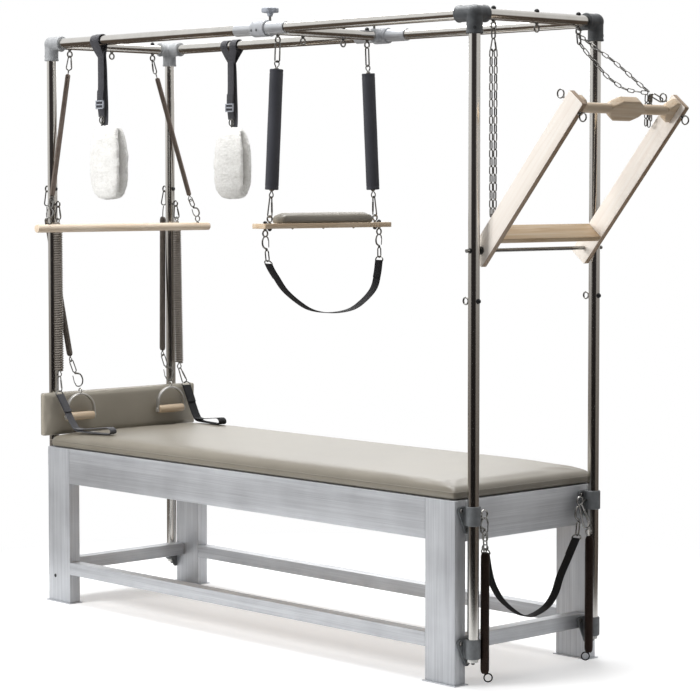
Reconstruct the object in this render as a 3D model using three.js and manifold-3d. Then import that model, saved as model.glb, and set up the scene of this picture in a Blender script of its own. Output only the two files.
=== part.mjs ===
// Pilates trapeze table, in millimetres: a padded bed under a tubular canopy frame, with a sliding
// trapeze, roll-down bar, push-through bar, springs, slings, handles and foot loops.
// X runs along the bed, towards the foot end. The near side is -Y and the far side is +Y. Z is up,
// from the floor. The bed's centre is at X = 0 until the last lines move the whole table.
import * as THREE from "three";
import { mergeVertices } from "three/addons/utils/BufferGeometryUtils.js";
import Module from "manifold-3d";

const wasm = await Module();
wasm.setup();

// Clearances and facets
const seam = 0.3; // gap between two pieces that touch
const touch = 0.25; // gap between linked rings
const slantSlack = 0.6; // more gap where a link hangs at a slant
const overrun = 2; // how far a cut passes its surface
const lap = 1.5; // how deep joined shapes run into each other
const weld = 0.001;
const roundSides = 12;
const shankSides = 4;
const rodSides = 6;
const wireSides = 4;
const eyeSteps = 8;
const linkSteps = 6;
const nutSides = 6;
const bendSides = 3; // facets of a bent wire's or rounded corner's quarter
const curlSteps = 8;
const curlSides = 5;

// Bed
const bedLength = 2228;
const bedWidth = 694;
const bedHeight = 607;
const timber = 49; // depth of every bed member
const profileWall = 4; // bed members are hollow profiles
const legWidth = 137;
const apronHeight = 136;
const stretcherHeight = 48;
const stretcherBase = 114;
const footPlate = 4;
const footOverhang = 8;
const deckThickness = 18;
const mattressHeight = 45;
const mattressInset = 2;
const mattressCrown = 24;
const mattressFold = 27; // where its side wall ends
const mattressRound = 20;
const headboard = { thickness: 27, width: 760, height: 164, proud: 2 };

// Canopy frame
const tubeRadius = 19;
const tubeWall = 3;
const railHeight = 2180;
const postBase = 91;
const postSpread = 295; // post axis from the middle plane
const headPostGap = 29; // post axis from the bed's end
const footPostGap = 32;
const plug = { height: 13, bolt: 6, boltLength: 8 };
const fitting = { radius: 27, down: 66, along: 72, across: 52, ball: 33, seat: 26 };
const bracket = { radius: 25, height: 64, upper: 557, lower: 122, flange: 7, web: 32 };
const bracketScrew = { spread: 31, rise: 18, foot: 47 }; // from the bracket's middle
const bracketCorner = 14;
const bracketEye = { back: 7, reach: 34, radius: 14 }; // the eye on a bracket's inner side

// Eye bolts and oval links
const eyeRadius = 11;
const eyeWire = 3.5;
const eyeShank = 4;
const eyeReach = 17; // ring centre from the surface that it is screwed to
const nut = { radius: 8, height: 9 };
const linkWire = 2.8;
const linkWidth = 22;
const wideLink = 28; // for links that hang at a slant
const crossbarEye = 207;
const footEyeHeight = 1255;
const legEyeShare = 0.591; // of the height from the mattress to the rails
const armEyeShare = 0.6302;

// Slide bar and trapeze
const slideX = 107;
const sleeve = { radius: 23, length: 266 };
const tee = { radius: 30, length: 70, socket: 25, socketEnd: 45 };
const knob = { radius: 31, thickness: 17, hub: 9, hubHeight: 13, top: 75 };
const knobStem = { radius: 5, depth: 12, offset: 40 };
const knobLobes = 6;
const knobLobeShare = 0.12;
const trapezeEye = 218.5;
const spareEye = 98.5;
const trapezeSpring = { radius: 24.3, spreadTop: 225, spreadFoot: 249 };
const trapezeDrop = { linkFoot: 103, springTop: 140 }; // below the rails' axis
const plank = { length: 622, width: 74, thickness: 18, eye: 259, strapEye: 280 };
const plankBaseShare = 0.5386; // of the height from the mattress to the rails
const trapezeRise = { clipTop: 96, springFoot: 138 }; // above the plank's base
const seatPad = { length: 450, width: 62, height: 42, round: 16, crown: 1.5 };
const webbing = 4;
const trapezeStrap = { width: 38, drop: 125, depth: 186, nearEnd: 264, farEnd: 281, clipDrop: 109 };

// Roll-down bar
const rollBar = { fromPost: 81, length: 862, radius: 16, eye: 373, groove: 2, grooveLength: 14 };
const rollBarShare = 0.5301; // of the height from the mattress to the rails
const rollSpring = { radius: 10.3, topFromPost: 9, topY: 223, footFromPost: 64, footY: 344 };
const rollDrop = { linkFoot: 88, springTop: 116 }; // below the rails' axis
const rollSpringFoot = 126; // above the bar's axis

// Leg springs with foot loops
const legSpring = { radius: 17.5, wire: 2.6, curls: 16, eyeDrop: 77 };
const legSpringTop = { fromPost: 39, y: 298 };
const legSpringFoot = { fromPost: 46, y: 302, z: 902 };
const springCap = 6;
const footLoop = { pivot: 864, clipFoot: 830, fromPost: 69, y: 319, top: 811, reach: 290, turn: 9 };
const footLoopWidth = 36;
const footLoopBend = { along: 91, drop: 126 };
const footLoopEye = { height: 27, drop: 5, round: 13 }; // its drop is below the mattress crown

// Arm springs with handles
const armSpring = { radius: 12.3, eyeDrop: 115, foot: 956 };
const armSpringTop = { fromPost: -44, y: 291 };
const armSpringFoot = { fromPost: 23, y: 233 };
const handle = { fromPost: 81, y: 227, ringHeight: 826, ring: 9, slack: 0.4, top: 812, width: 145, wire: 4 };
const handleShoulder = 46;
const grip = { height: 723, radius: 16, length: 122 };

// Push-through bar
const pushPivotDrop = 762; // below the rails' axis
const pushAngle = 50.2;
const pushRod = { radius: 6.5, overhang: 25, collar: 13.5, collarLength: 14, nut: 9.5 };
const pushBoard = { tail: 42, length: 672, width: 72, thickness: 22, inner: 240, corner: 12 };
const pushShelf = { start: 60, thickness: 18 };
const pushHandle = { at: 590, grip: 16.5, block: 39, middle: 80, middleTip: 41, end: 40, endTip: 17 };
const pushEye = { at: 593, backReach: 28, frontReach: 19 };
const pushHook = { reach: 34, inward: 13, rise: 6 };

// Chains
const chainWidth = 30;
const chainWire = 4;
const nearChainFoot = 104; // above the push-through bar's pivot
const farChain = { endX: 296, endY: 222, endDrop: 246, sagBack: 90, sagDrop: 40, bundle: 112, bundleBack: 8 };

// Slings on the rails: places from the head posts' axis, and drops below the rails' axis
const nearSling = { wrap: 305, wrapLength: 57, strap: 325, pad: 364 };
const farSling = { wrap: 395, wrapLength: 95, strap: 393, pad: 395 };
const sling = { band: 4, strapWidth: 38, strapDrop: 226, buckle: 32, buckleDepth: 12, ringDrop: 294 };
const slingPad = { topDrop: 313, height: 294, length: 152, depth: 86 };
const slingSlit = { width: 9, drop: 59, height: 168 }; // its drop is from the pad's top

// Foot springs and foot strap
const footSpring = { radius: 15, fromPost: 17, y: 257, top: 437, foot: 42, loopFoot: 11, loopIn: 14 };
const footStrap = { fromPost: -6, width: 34, endY: 223, end: 428, low: 193, clipFoot: 440 };

const at = (x, y, z) => new THREE.Vector3(x, y, z);
const UP = at(0, 0, 1);
const DOWN = at(0, 0, -1);
const FOOTWARD = at(1, 0, 0);
const HEADWARD = at(-1, 0, 0);
const ACROSS = at(0, 1, 0);
const sides = { near: -1, far: 1 };
const ends = { head: -1, foot: 1 };
const sideNames = Object.keys(sides);
const headPostX = -bedLength / 2 - headPostGap;
const footPostX = bedLength / 2 + footPostGap;
const postX = (end) => (end < 0 ? headPostX : footPostX);
const mattressTop = bedHeight + mattressHeight;
const hung = (share) => mattressTop + share * (railHeight - mattressTop);
const along = (start, direction, distance) => start.clone().addScaledVector(direction, distance);

// A closed solid from a closed geometry
function solidOf(geometry) {
  const bare = geometry.clone();
  bare.deleteAttribute("normal");
  bare.deleteAttribute("uv");
  const welded = mergeVertices(bare, weld);
  const corners = welded.index.array;
  const kept = [];
  for (let i = 0; i < corners.length; i += 3) {
    const [a, b, c] = corners.slice(i, i + 3);
    if (a !== b && b !== c && c !== a) kept.push(a, b, c);
  }
  const vertProperties = Float32Array.from(welded.attributes.position.array);
  const triVerts = Uint32Array.from(kept);
  return new wasm.Manifold(new wasm.Mesh({ numProp: 3, vertProperties, triVerts }));
}

const join = (first, ...others) => others.reduce((whole, next) => whole.add(next), first);
const cut = (body, ...tools) => tools.reduce((rest, tool) => rest.subtract(tool), body);

// Turns a geometry so that its own X, Y and Z lie along the given directions, then moves it
function placed(geometry, origin, xAxis, yAxis) {
  const x = xAxis.clone().normalize();
  const z = x.clone().cross(yAxis).normalize();
  const y = z.clone().cross(x);
  const frame = new THREE.Matrix4().makeBasis(x, y, z).setPosition(origin);
  return solidOf(geometry.applyMatrix4(frame));
}

function block(centre, x, y, z) {
  return solidOf(new THREE.BoxGeometry(x, y, z).translate(centre.x, centre.y, centre.z));
}

function bar(from, to, radius, facets = roundSides) {
  const axis = to.clone().sub(from);
  const length = axis.length();
  const geometry = new THREE.CylinderGeometry(radius, radius, length, facets).rotateX(Math.PI / 2);
  geometry.translate(0, 0, length / 2);
  const side = Math.abs(axis.z) > length / 2 ? FOOTWARD : UP;
  const across = side.clone().cross(axis);
  const facing = axis.clone().cross(across);
  return placed(geometry, from, facing, axis.clone().cross(facing));
}

function tube(from, to, radius, bore) {
  const axis = to.clone().sub(from).normalize();
  return cut(bar(from, to, radius), bar(along(from, axis, -overrun), along(to, axis, overrun), bore));
}

// A round spring or sleeve with tapered ends
function spindle(from, to, radius) {
  const tipShare = 0.45;
  const shoulderShare = 0.8;
  const axis = to.clone().sub(from);
  const length = axis.length();
  const profile = [
    new THREE.Vector2(0, 0),
    new THREE.Vector2(radius * tipShare, 0),
    new THREE.Vector2(radius, radius * shoulderShare),
    new THREE.Vector2(radius, length - radius * shoulderShare),
    new THREE.Vector2(radius * tipShare, length),
    new THREE.Vector2(0, length),
  ];
  const geometry = new THREE.LatheGeometry(profile, roundSides);
  const side = FOOTWARD.clone().cross(axis).cross(axis).negate();
  return placed(geometry, from, side, axis);
}

// A ring of round wire round the given axis
function ring(centre, axis, radius, wire) {
  const geometry = new THREE.TorusGeometry(radius, wire, wireSides, eyeSteps);
  const upward = Math.abs(axis.z) > Math.SQRT1_2 ? FOOTWARD : UP;
  return placed(geometry, centre, upward.clone().cross(axis), upward);
}

// An oval link of round wire whose outer ends reach two points, in the plane square to facing
function link(top, foot, facing, width = linkWidth, wire = linkWire) {
  const bend = width / 2 - wire;
  const pull = top.distanceTo(foot) / 2 - width / 2;
  const geometry = new THREE.TorusGeometry(bend, wire, wireSides, linkSteps);
  geometry.rotateZ(Math.PI / linkSteps);
  const spots = geometry.attributes.position;
  for (let i = 0; i < spots.count; i += 1) {
    spots.setY(i, spots.getY(i) + Math.sign(spots.getY(i)) * pull);
  }
  const upward = top.clone().sub(foot);
  const middle = top.clone().add(foot).multiplyScalar(1 / 2);
  return placed(geometry, middle, upward.clone().cross(facing), upward);
}

// An eye bolt: its ring stands off from base, and its shank runs back through the carrier to a nut
function eyeBolt(base, direction, axis, depth, reach = eyeReach, nutted = true) {
  const centre = along(base, direction, reach);
  const shankStart = along(centre, direction, -eyeRadius);
  const shankEnd = along(base, direction, -depth);
  const pieces = [ring(centre, axis, eyeRadius, eyeWire), bar(shankStart, shankEnd, eyeShank, shankSides)];
  const nutEnd = along(shankEnd, direction, -nut.height);
  if (nutted) pieces.push(bar(along(shankEnd, direction, lap), nutEnd, nut.radius, nutSides));
  return join(...pieces);
}

// Where an oval link hangs in a ring: the link's outer top, or its outer foot in a ring below it
const seatRise = (eyeWire + linkWire + touch) / Math.cos(Math.PI / eyeSteps);
const linkRise = (linkWire + linkWire + touch) / Math.cos(Math.PI / eyeSteps); // for a link in a link
const hangsIn = (centre) => at(centre.x, centre.y, centre.z - eyeRadius + seatRise + linkWire);
const restsIn = (centre) => at(centre.x, centre.y, centre.z + eyeRadius - seatRise - linkWire);

// A flat band seen edge-on in the XY plane, its width centred on Z
function bandOutline(path, offset, closed) {
  const last = path.length - 1;
  return path.map((point, i) => {
    const before = path[i > 0 ? i - 1 : closed ? last : 0];
    const after = path[i < last ? i + 1 : closed ? 0 : last];
    const heading = after.clone().sub(before).normalize();
    return new THREE.Vector2(point.x - heading.y * offset, point.y + heading.x * offset);
  });
}

function band(path, thickness, width, closed = false) {
  const left = bandOutline(path, thickness / 2, closed);
  const right = bandOutline(path, -thickness / 2, closed);
  let shape;
  if (closed) {
    const leftOuter = Math.abs(THREE.ShapeUtils.area(left)) > Math.abs(THREE.ShapeUtils.area(right));
    shape = new THREE.Shape(leftOuter ? left : right);
    shape.holes.push(new THREE.Path(leftOuter ? right : left));
  } else {
    shape = new THREE.Shape([...left, ...right.reverse()]);
  }
  return new THREE.ExtrudeGeometry(shape, { depth: width, bevelEnabled: false }).translate(0, 0, -width / 2);
}

// A closed skin through rings of points that all have the same count
function loft(rings) {
  const count = rings[0].length;
  const points = rings.flat();
  const triangles = [];
  for (let r = 0; r + 1 < rings.length; r += 1) {
    for (let i = 0; i < count; i += 1) {
      const a = r * count + i;
      const b = r * count + ((i + 1) % count);
      triangles.push(a, b, b + count, a, b + count, a + count);
    }
  }
  const centres = [rings[0], rings[rings.length - 1]].map((loop) =>
    loop.reduce((sum, p) => sum.add(p), at(0, 0, 0)).multiplyScalar(1 / count));
  const [first, last] = [points.length, points.length + 1];
  const top = points.length - count;
  for (let i = 0; i < count; i += 1) {
    const next = (i + 1) % count;
    triangles.push(first, next, i, last, top + i, top + next);
  }
  const geometry = new THREE.BufferGeometry().setFromPoints([...points, ...centres]);
  geometry.setIndex(triangles);
  return solidOf(geometry);
}

// A rectangle with round corners at one height, counter-clockwise
function roundedLoop(halfX, halfY, corner, z, cornerSteps) {
  const loop = [];
  for (let quarter = 0; quarter < 4; quarter += 1) {
    const signX = quarter === 0 || quarter === 3 ? 1 : -1;
    const signY = quarter < 2 ? 1 : -1;
    for (let i = 0; i <= cornerSteps; i += 1) {
      const angle = ((quarter + i / cornerSteps) * Math.PI) / 2;
      const x = signX * (halfX - corner) + corner * Math.cos(angle);
      const y = signY * (halfY - corner) + corner * Math.sin(angle);
      loop.push(at(x, y, z));
    }
  }
  return loop;
}

// Finishes: colour, roughness, metalness
const finish = (color, roughness, metalness) =>
  new THREE.MeshStandardMaterial({ color, roughness, metalness });
const aluminium = () => finish(0xb9bbbe, 0.4, 0.85);
const polished = () => finish(0xd4d5d7, 0.15, 1);
const casting = () => finish(0xb4b5b8, 0.45, 0.7);
const greyCasting = () => finish(0x646666, 0.5, 0.6);
const vinyl = () => finish(0xa59f93, 0.55, 0);
const maple = () => finish(0xdcc6a2, 0.45, 0);
const black = () => finish(0x1e1e20, 0.5, 0);
const darkWeb = () => finish(0x3a3b3e, 0.85, 0);
const springSteel = () => finish(0x8f8a86, 0.3, 0.9);
const darkSpring = () => finish(0x3a2d28, 0.35, 0.8);
const zinc = () => finish(0xb8b8b4, 0.3, 0.9);
const fleece = () => finish(0xf1efea, 1, 0);
const plywood = () => finish(0xb08a5c, 0.7, 0);

const table = new THREE.Group();

function addPart(name, solid, material, parent = table) {
  const { vertProperties, triVerts } = solid.getMesh();
  const geometry = new THREE.BufferGeometry();
  geometry.setAttribute("position", new THREE.BufferAttribute(vertProperties, 3));
  geometry.setIndex(new THREE.BufferAttribute(triVerts, 1));
  geometry.computeVertexNormals();
  const mesh = new THREE.Mesh(geometry, material);
  mesh.name = name;
  parent.add(mesh);
}

// Bed frame: two end frames, side members and the deck between them
function endFrame(end) {
  const pieces = [];
  const hollows = [];
  const openTop = (x, y, wide, deep, base) => {
    const height = bedHeight + overrun - base - profileWall;
    const middle = at(x, y, base + profileWall + height / 2);
    return block(middle, wide - 2 * profileWall, deep - 2 * profileWall, height);
  };
  const legX = end * (bedLength / 2 - legWidth / 2);
  const edgeX = end * (bedLength / 2 - timber / 2);
  const legHeight = bedHeight - footPlate / 2;
  for (const side of Object.values(sides)) {
    const legY = side * (bedWidth / 2 - timber / 2);
    pieces.push(block(at(legX, legY, bedHeight - legHeight / 2), legWidth, timber, legHeight));
    hollows.push(openTop(legX, legY, legWidth, timber, footPlate));
    const plateWidth = timber + 2 * footOverhang;
    pieces.push(block(at(legX, legY, footPlate / 2), legWidth + 2 * footOverhang, plateWidth, footPlate));
  }
  const span = bedWidth - timber;
  pieces.push(block(at(edgeX, 0, bedHeight - apronHeight / 2), timber, span, apronHeight));
  pieces.push(block(at(edgeX, 0, stretcherBase + stretcherHeight / 2), timber, span, stretcherHeight));
  hollows.push(openTop(edgeX, 0, timber, bedWidth - 2 * timber, bedHeight - apronHeight));
  return cut(join(...pieces), ...hollows);
}

function sideMember(side, base, height) {
  const length = bedLength - 2 * legWidth - 2 * seam;
  const middle = at(0, side * (bedWidth / 2 - timber / 2), base + height / 2);
  const hollow = block(middle, length + overrun, timber - 2 * profileWall, height - 2 * profileWall);
  return cut(block(middle, length, timber, height), hollow);
}

function deck() {
  const length = bedLength - 2 * timber - 2 * seam;
  const width = bedWidth - 2 * timber - 2 * seam;
  return block(at(0, 0, bedHeight - deckThickness / 2), length, width, deckThickness);
}

function mattress() {
  const halfX = bedLength / 2 - mattressInset;
  const halfY = bedWidth / 2;
  const fold = bedHeight + mattressFold;
  const rise = mattressTop + mattressCrown - fold;
  // Each level's shares of half the length, of half the width and of the rise: it rises slowly from the ends
  const levelShares = [[0.011, 0.0045, 0.24], [0.0205, 0.017, 0.43], [0.068, 0.04, 0.62], [0.11, 0.055, 0.69],
    [0.193, 0.087, 0.79], [0.36, 0.317, 0.905], [0.63, 0.634, 0.976], [0.9, 0.92, 1]];
  const levels = [[0, 0, bedHeight + seam], [0, 0, fold]];
  for (const [lengthShare, widthShare, riseShare] of levelShares) {
    levels.push([lengthShare * halfX, widthShare * halfY, fold + riseShare * rise]);
  }
  const cornerSteps = 4;
  return loft(levels.map(([endInset, sideInset, z]) => {
    const corner = Math.min(mattressRound, halfY - sideInset);
    return roundedLoop(halfX - endInset, halfY - sideInset, corner, z, cornerSteps);
  }));
}

function headboardPanel() {
  const x = -bedLength / 2 - headboard.proud + headboard.thickness / 2;
  const z = mattressTop + seam + headboard.height / 2;
  return block(at(x, 0, z), headboard.thickness, headboard.width, headboard.height);
}

// Canopy frame
function post(end, side) {
  const x = postX(end);
  const y = side * postSpread;
  const top = railHeight - fitting.seat;
  const wallTube = cut(
    bar(at(x, y, postBase), at(x, y, top), tubeRadius),
    bar(at(x, y, postBase + tubeWall), at(x, y, top + overrun), tubeRadius - tubeWall),
  );
  const foot = bar(at(x, y, postBase - plug.height), at(x, y, postBase + lap), tubeRadius);
  const boltFoot = at(x, y, postBase - plug.height - plug.boltLength);
  const bolt = bar(boltFoot, at(x, y, postBase), plug.bolt, rodSides);
  const inward = end < 0 ? FOOTWARD : HEADWARD;
  const face = (direction, z) => along(at(x, y, z), direction, tubeRadius);
  const through = 2 * tubeRadius;
  if (end < 0) {
    const inner = eyeBolt(face(inward, hung(legEyeShare)), inward, ACROSS, through);
    const outer = eyeBolt(face(HEADWARD, hung(armEyeShare)), HEADWARD, ACROSS, through);
    return join(wallTube, foot, bolt, inner, outer);
  }
  const eye = eyeBolt(face(inward, footEyeHeight), inward, ACROSS, through);
  const reach = tubeRadius + overrun;
  const pivotHole = bar(at(x, y - reach, pushPivot), at(x, y + reach, pushPivot), pushRod.radius + seam);
  return cut(join(wallTube, foot, bolt, eye), pivotHole);
}

function cornerFitting(end, side) {
  const centre = at(postX(end), side * postSpread, railHeight);
  const arms = [[DOWN, fitting.down], [at(-end, 0, 0), fitting.along], [at(0, -side, 0), fitting.across]];
  const ball = new THREE.SphereGeometry(fitting.ball, roundSides, rodSides).rotateX(Math.PI / 2);
  let body = solidOf(ball.translate(centre.x, centre.y, centre.z));
  for (const [direction, length] of arms) {
    body = body.add(bar(centre, along(centre, direction, length), fitting.radius));
  }
  for (const [direction, length] of arms) {
    const start = along(centre, direction, fitting.seat - seam);
    body = body.subtract(bar(start, along(centre, direction, length + overrun), tubeRadius + seam));
  }
  return body;
}

function rail(side) {
  const y = side * postSpread;
  const from = at(headPostX + fitting.seat, y, railHeight);
  const to = at(footPostX - fitting.seat, y, railHeight);
  return tube(from, to, tubeRadius, tubeRadius - tubeWall);
}

const underTube = (x, y) => at(x, y, railHeight - tubeRadius);
const crossbarEyeCentre = (end, y) => along(underTube(postX(end), y), DOWN, eyeReach);

function crossbar(end) {
  const x = postX(end);
  const reach = postSpread - fitting.seat;
  const pipe = tube(at(x, -reach, railHeight), at(x, reach, railHeight), tubeRadius, tubeRadius - tubeWall);
  const eyes = [-crossbarEye, 0, crossbarEye].map((y) =>
    eyeBolt(underTube(x, y), DOWN, FOOTWARD, 2 * tubeRadius));
  return join(pipe, ...eyes);
}

// Clamp brackets that hold the posts to the bed's end frames
function flangeOutline() {
  const { spread, rise, foot } = bracketScrew;
  const spots = [[-spread, rise], [0, -foot], [spread, rise]];
  const arcSteps = 3;
  const outline = [];
  spots.forEach(([y, z], i) => {
    const before = spots[(i + 2) % 3];
    const after = spots[(i + 1) % 3];
    const start = Math.atan2(z - before[1], y - before[0]) - Math.PI / 2;
    let end = Math.atan2(after[1] - z, after[0] - y) - Math.PI / 2;
    while (end < start) end += 2 * Math.PI;
    for (let s = 0; s <= arcSteps; s += 1) {
      const angle = start + ((end - start) * s) / arcSteps;
      const [right, up] = [Math.cos(angle), Math.sin(angle)];
      outline.push(new THREE.Vector2(y + bracketCorner * right, z + bracketCorner * up));
    }
  });
  return new THREE.Shape(outline);
}

const footBracketEye = (side) => {
  const y = side * (postSpread - bracket.radius - bracketEye.reach);
  return at(footPostX - bracketEye.back, y, bracket.upper);
};

function clampBracket(end, side, height) {
  const x = postX(end);
  const y = side * postSpread;
  const face = end * (bedLength / 2 + seam);
  const plate = new THREE.ExtrudeGeometry(flangeOutline(), { depth: bracket.flange, bevelEnabled: false });
  const flange = placed(plate, at(end > 0 ? face : face - bracket.flange, y, height), ACROSS, UP);
  const half = bracket.height / 2;
  const collar = bar(at(x, y, height - half), at(x, y, height + half), bracket.radius);
  const webX = (x + face) / 2;
  const web = block(at(webX, y, height), Math.abs(x - face), bracket.web, bracket.height - bracketCorner);
  const low = height - half - bracketScrew.foot;
  const bore = bar(at(x, y, low), at(x, y, height + half + overrun), tubeRadius + seam);
  const body = cut(join(flange, collar, web), bore);
  if (end < 0 || height !== bracket.upper) return body;
  const eye = footBracketEye(side);
  const inward = at(0, -side, 0);
  const shankEnd = along(eye, inward, -bracketEye.reach - lap);
  const shank = bar(along(eye, inward, -bracketEye.radius), shankEnd, eyeShank, rodSides);
  return join(body, ring(eye, FOOTWARD, bracketEye.radius, eyeWire), shank);
}

// Slide bar: two sleeved tees on the rails, the cross tube between them and its four eyes
const knobY = (side) => side * (postSpread - knobStem.offset);

function slideBar() {
  const pieces = [];
  const bores = [];
  for (const side of Object.values(sides)) {
    const y = side * postSpread;
    const span = (length, radius) =>
      bar(at(slideX - length / 2, y, railHeight), at(slideX + length / 2, y, railHeight), radius);
    const socketEnd = side * (postSpread - tee.socketEnd);
    pieces.push(span(sleeve.length, sleeve.radius), span(tee.length, tee.radius));
    pieces.push(bar(at(slideX, y, railHeight), at(slideX, socketEnd, railHeight), tee.socket));
    bores.push(span(sleeve.length + overrun, tubeRadius + seam));
    const stemHole = at(slideX, knobY(side), railHeight + tee.socket + overrun);
    const holeFoot = along(stemHole, DOWN, knobStem.depth + 2 * overrun);
    bores.push(bar(stemHole, holeFoot, (knobStem.radius + seam) / Math.cos(Math.PI / rodSides), rodSides));
  }
  const reach = postSpread - tee.socketEnd + overrun;
  const cross = bar(at(slideX, -reach, railHeight), at(slideX, reach, railHeight), tubeRadius);
  const eyes = [trapezeEye, spareEye].flatMap((y) =>
    [-y, y].map((place) => eyeBolt(underTube(slideX, place), DOWN, FOOTWARD, 2 * tubeRadius)));
  return cut(join(cross, ...pieces, ...eyes), ...bores);
}

function starKnob(side) {
  const centre = at(slideX, knobY(side), railHeight + knob.top - knob.thickness);
  const steps = knobLobes * 4;
  const outline = Array.from({ length: steps }, (_, i) => {
    const angle = (2 * Math.PI * i) / steps;
    const radius = knob.radius * (1 - knobLobeShare * (1 - Math.cos(knobLobes * angle)) / 2);
    return new THREE.Vector2(radius * Math.cos(angle), radius * Math.sin(angle));
  });
  const options = { depth: knob.thickness, bevelEnabled: false };
  const star = new THREE.ExtrudeGeometry(new THREE.Shape(outline), options);
  const head = placed(star, centre, FOOTWARD, ACROSS);
  const hub = bar(along(centre, DOWN, knob.hubHeight), along(centre, UP, lap), knob.hub, rodSides);
  const stemFoot = at(centre.x, centre.y, railHeight + tee.socket - knobStem.depth);
  return join(head, hub, bar(stemFoot, centre, knobStem.radius, rodSides));
}

// Trapeze: two sleeved springs, the seat plank, its pad and the foot strap below
function trapezeSide(side) {
  const eye = along(underTube(slideX, side * trapezeEye), DOWN, eyeReach);
  const top = at(slideX, side * trapezeSpring.spreadTop, railHeight - trapezeDrop.springTop);
  const foot = at(slideX, side * trapezeSpring.spreadFoot, plankBase + trapezeRise.springFoot);
  const linkFoot = at(slideX, eye.y, railHeight - trapezeDrop.linkFoot);
  const upperLink = link(hangsIn(eye), linkFoot, ACROSS);
  const hook = bar(along(linkFoot, UP, linkWire), along(top, DOWN, lap), linkWire, rodSides);
  const clipTop = at(slideX, side * plank.eye, plankBase + trapezeRise.clipTop);
  const clip = link(clipTop, restsIn(plankEye(side)), ACROSS);
  const loop = bar(along(foot, UP, lap), along(clipTop, DOWN, linkWire), linkWire, rodSides);
  return join(spindle(top, foot, trapezeSpring.radius), upperLink, hook, loop, clip);
}

const plankBase = hung(plankBaseShare);
const plankTop = plankBase + plank.thickness;
const plankEye = (side) => at(slideX, side * plank.eye, plankTop + eyeReach);
const strapEye = (side) => at(slideX, side * plank.strapEye, plankBase - eyeReach);

function seatPlank() {
  const middle = at(slideX, 0, plankBase + plank.thickness / 2);
  const wood = block(middle, plank.width, plank.length, plank.thickness);
  const eyes = Object.values(sides).flatMap((side) => [
    eyeBolt(at(slideX, side * plank.eye, plankTop), UP, FOOTWARD, plank.thickness),
    eyeBolt(at(slideX, side * plank.strapEye, plankBase), DOWN, FOOTWARD, plank.thickness),
  ]);
  return join(wood, ...eyes);
}

function seatCushion() {
  const base = plankTop + seam;
  const shoulder = seatPad.height - seatPad.round;
  const levels = [[seam, 0], [0, shoulder / 2], [0, shoulder]];
  for (const turn of [Math.PI / 6, Math.PI / 3]) {
    levels.push([seatPad.round * (1 - Math.cos(turn)), shoulder + seatPad.round * Math.sin(turn)]);
  }
  const crownInset = (seatPad.width - seatPad.round) / 2;
  levels.push([seatPad.round, seatPad.height - seatPad.crown], [crownInset, seatPad.height]);
  const cornerSteps = 3;
  const loops = levels.map(([inset, rise]) => {
    const halfX = seatPad.width / 2 - inset;
    const corner = Math.min(seatPad.round, halfX);
    return roundedLoop(halfX, seatPad.length / 2 - inset, corner, base + rise, cornerSteps);
  });
  return loft(loops.map((loop) => loop.map((point) => point.add(at(slideX, 0, 0)))));
}

// A hanging strap between two ends, drawn in the YZ plane and given its width along X
function hangingStrap(x, path, width) {
  return placed(band(path, webbing, width), at(x, 0, 0), ACROSS, UP);
}

function trapezeFootStrap() {
  const { nearEnd, farEnd, depth, width } = trapezeStrap;
  const top = plankBase - trapezeStrap.drop;
  const ySpan = nearEnd + farEnd;
  const routeShares = [[0, 0], [0.05, 0.25], [0.13, 0.51], [0.25, 0.755], [0.38, 0.92], [0.55, 1],
    [0.73, 0.955], [0.85, 0.8], [0.945, 0.55], [0.985, 0.28], [1, 0]];
  const path = routeShares.map(([y, drop]) => new THREE.Vector2(y * ySpan - nearEnd, top - drop * depth));
  const strap = hangingStrap(slideX, path, width);
  const clips = Object.values(sides).map((side) => {
    const endY = side < 0 ? -nearEnd : farEnd;
    const foot = at(slideX, endY, plankBase - trapezeStrap.clipDrop);
    const clip = link(hangsIn(strapEye(side)), foot, ACROSS);
    return join(clip, bar(along(foot, UP, linkWire), at(slideX, endY, top - webbing), linkWire, rodSides));
  });
  return join(strap, ...clips);
}

// Roll-down bar on two springs from the head crossbar
const rollBarX = headPostX + rollBar.fromPost;
const rollBarHeight = hung(rollBarShare);
const rollGroove = rollBarHeight + rollBar.radius - rollBar.groove;

function rollDownBar() {
  const spot = (y) => at(rollBarX, y, rollBarHeight);
  const wood = bar(spot(-rollBar.length / 2), spot(rollBar.length / 2), rollBar.radius);
  const half = rollBar.grooveLength / 2;
  const eyes = [];
  const grooves = [];
  for (const y of [-rollBar.eye, rollBar.eye]) {
    eyes.push(eyeBolt(at(rollBarX, y, rollGroove), UP, FOOTWARD, rollBar.radius, eyeReach, false));
    const core = rollBar.radius - rollBar.groove;
    grooves.push(tube(spot(y - half), spot(y + half), rollBar.radius + overrun, core));
  }
  return join(cut(wood, ...grooves), ...eyes);
}

function rollDownSpring(side) {
  const clipShare = 1 / 3; // of the way from the spring to the bar's eye
  const neckShare = 1 / 8;
  const { topFromPost, topY, footFromPost, footY } = rollSpring;
  const top = at(headPostX + topFromPost, side * topY, railHeight - rollDrop.springTop);
  const foot = at(headPostX + footFromPost, side * footY, rollBarHeight + rollSpringFoot);
  const eye = crossbarEyeCentre(ends.head, side * crossbarEye);
  const linkFoot = at(eye.x, side * (crossbarEye + linkWire), railHeight - rollDrop.linkFoot);
  const upper = link(hangsIn(eye), linkFoot, ACROSS);
  const hook = bar(along(linkFoot, UP, linkWire), along(top, DOWN, lap), linkWire, rodSides);
  const barEye = at(rollBarX, side * rollBar.eye, rollGroove + eyeReach);
  const lowerTop = foot.clone().lerp(barEye, clipShare);
  const lower = link(lowerTop, along(restsIn(barEye), DOWN, slantSlack), ACROSS, wideLink);
  const neck = bar(along(foot, UP, lap), lowerTop.clone().lerp(barEye, neckShare), linkWire, rodSides);
  return join(spindle(top, foot, rollSpring.radius), upper, hook, neck, lower);
}

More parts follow.
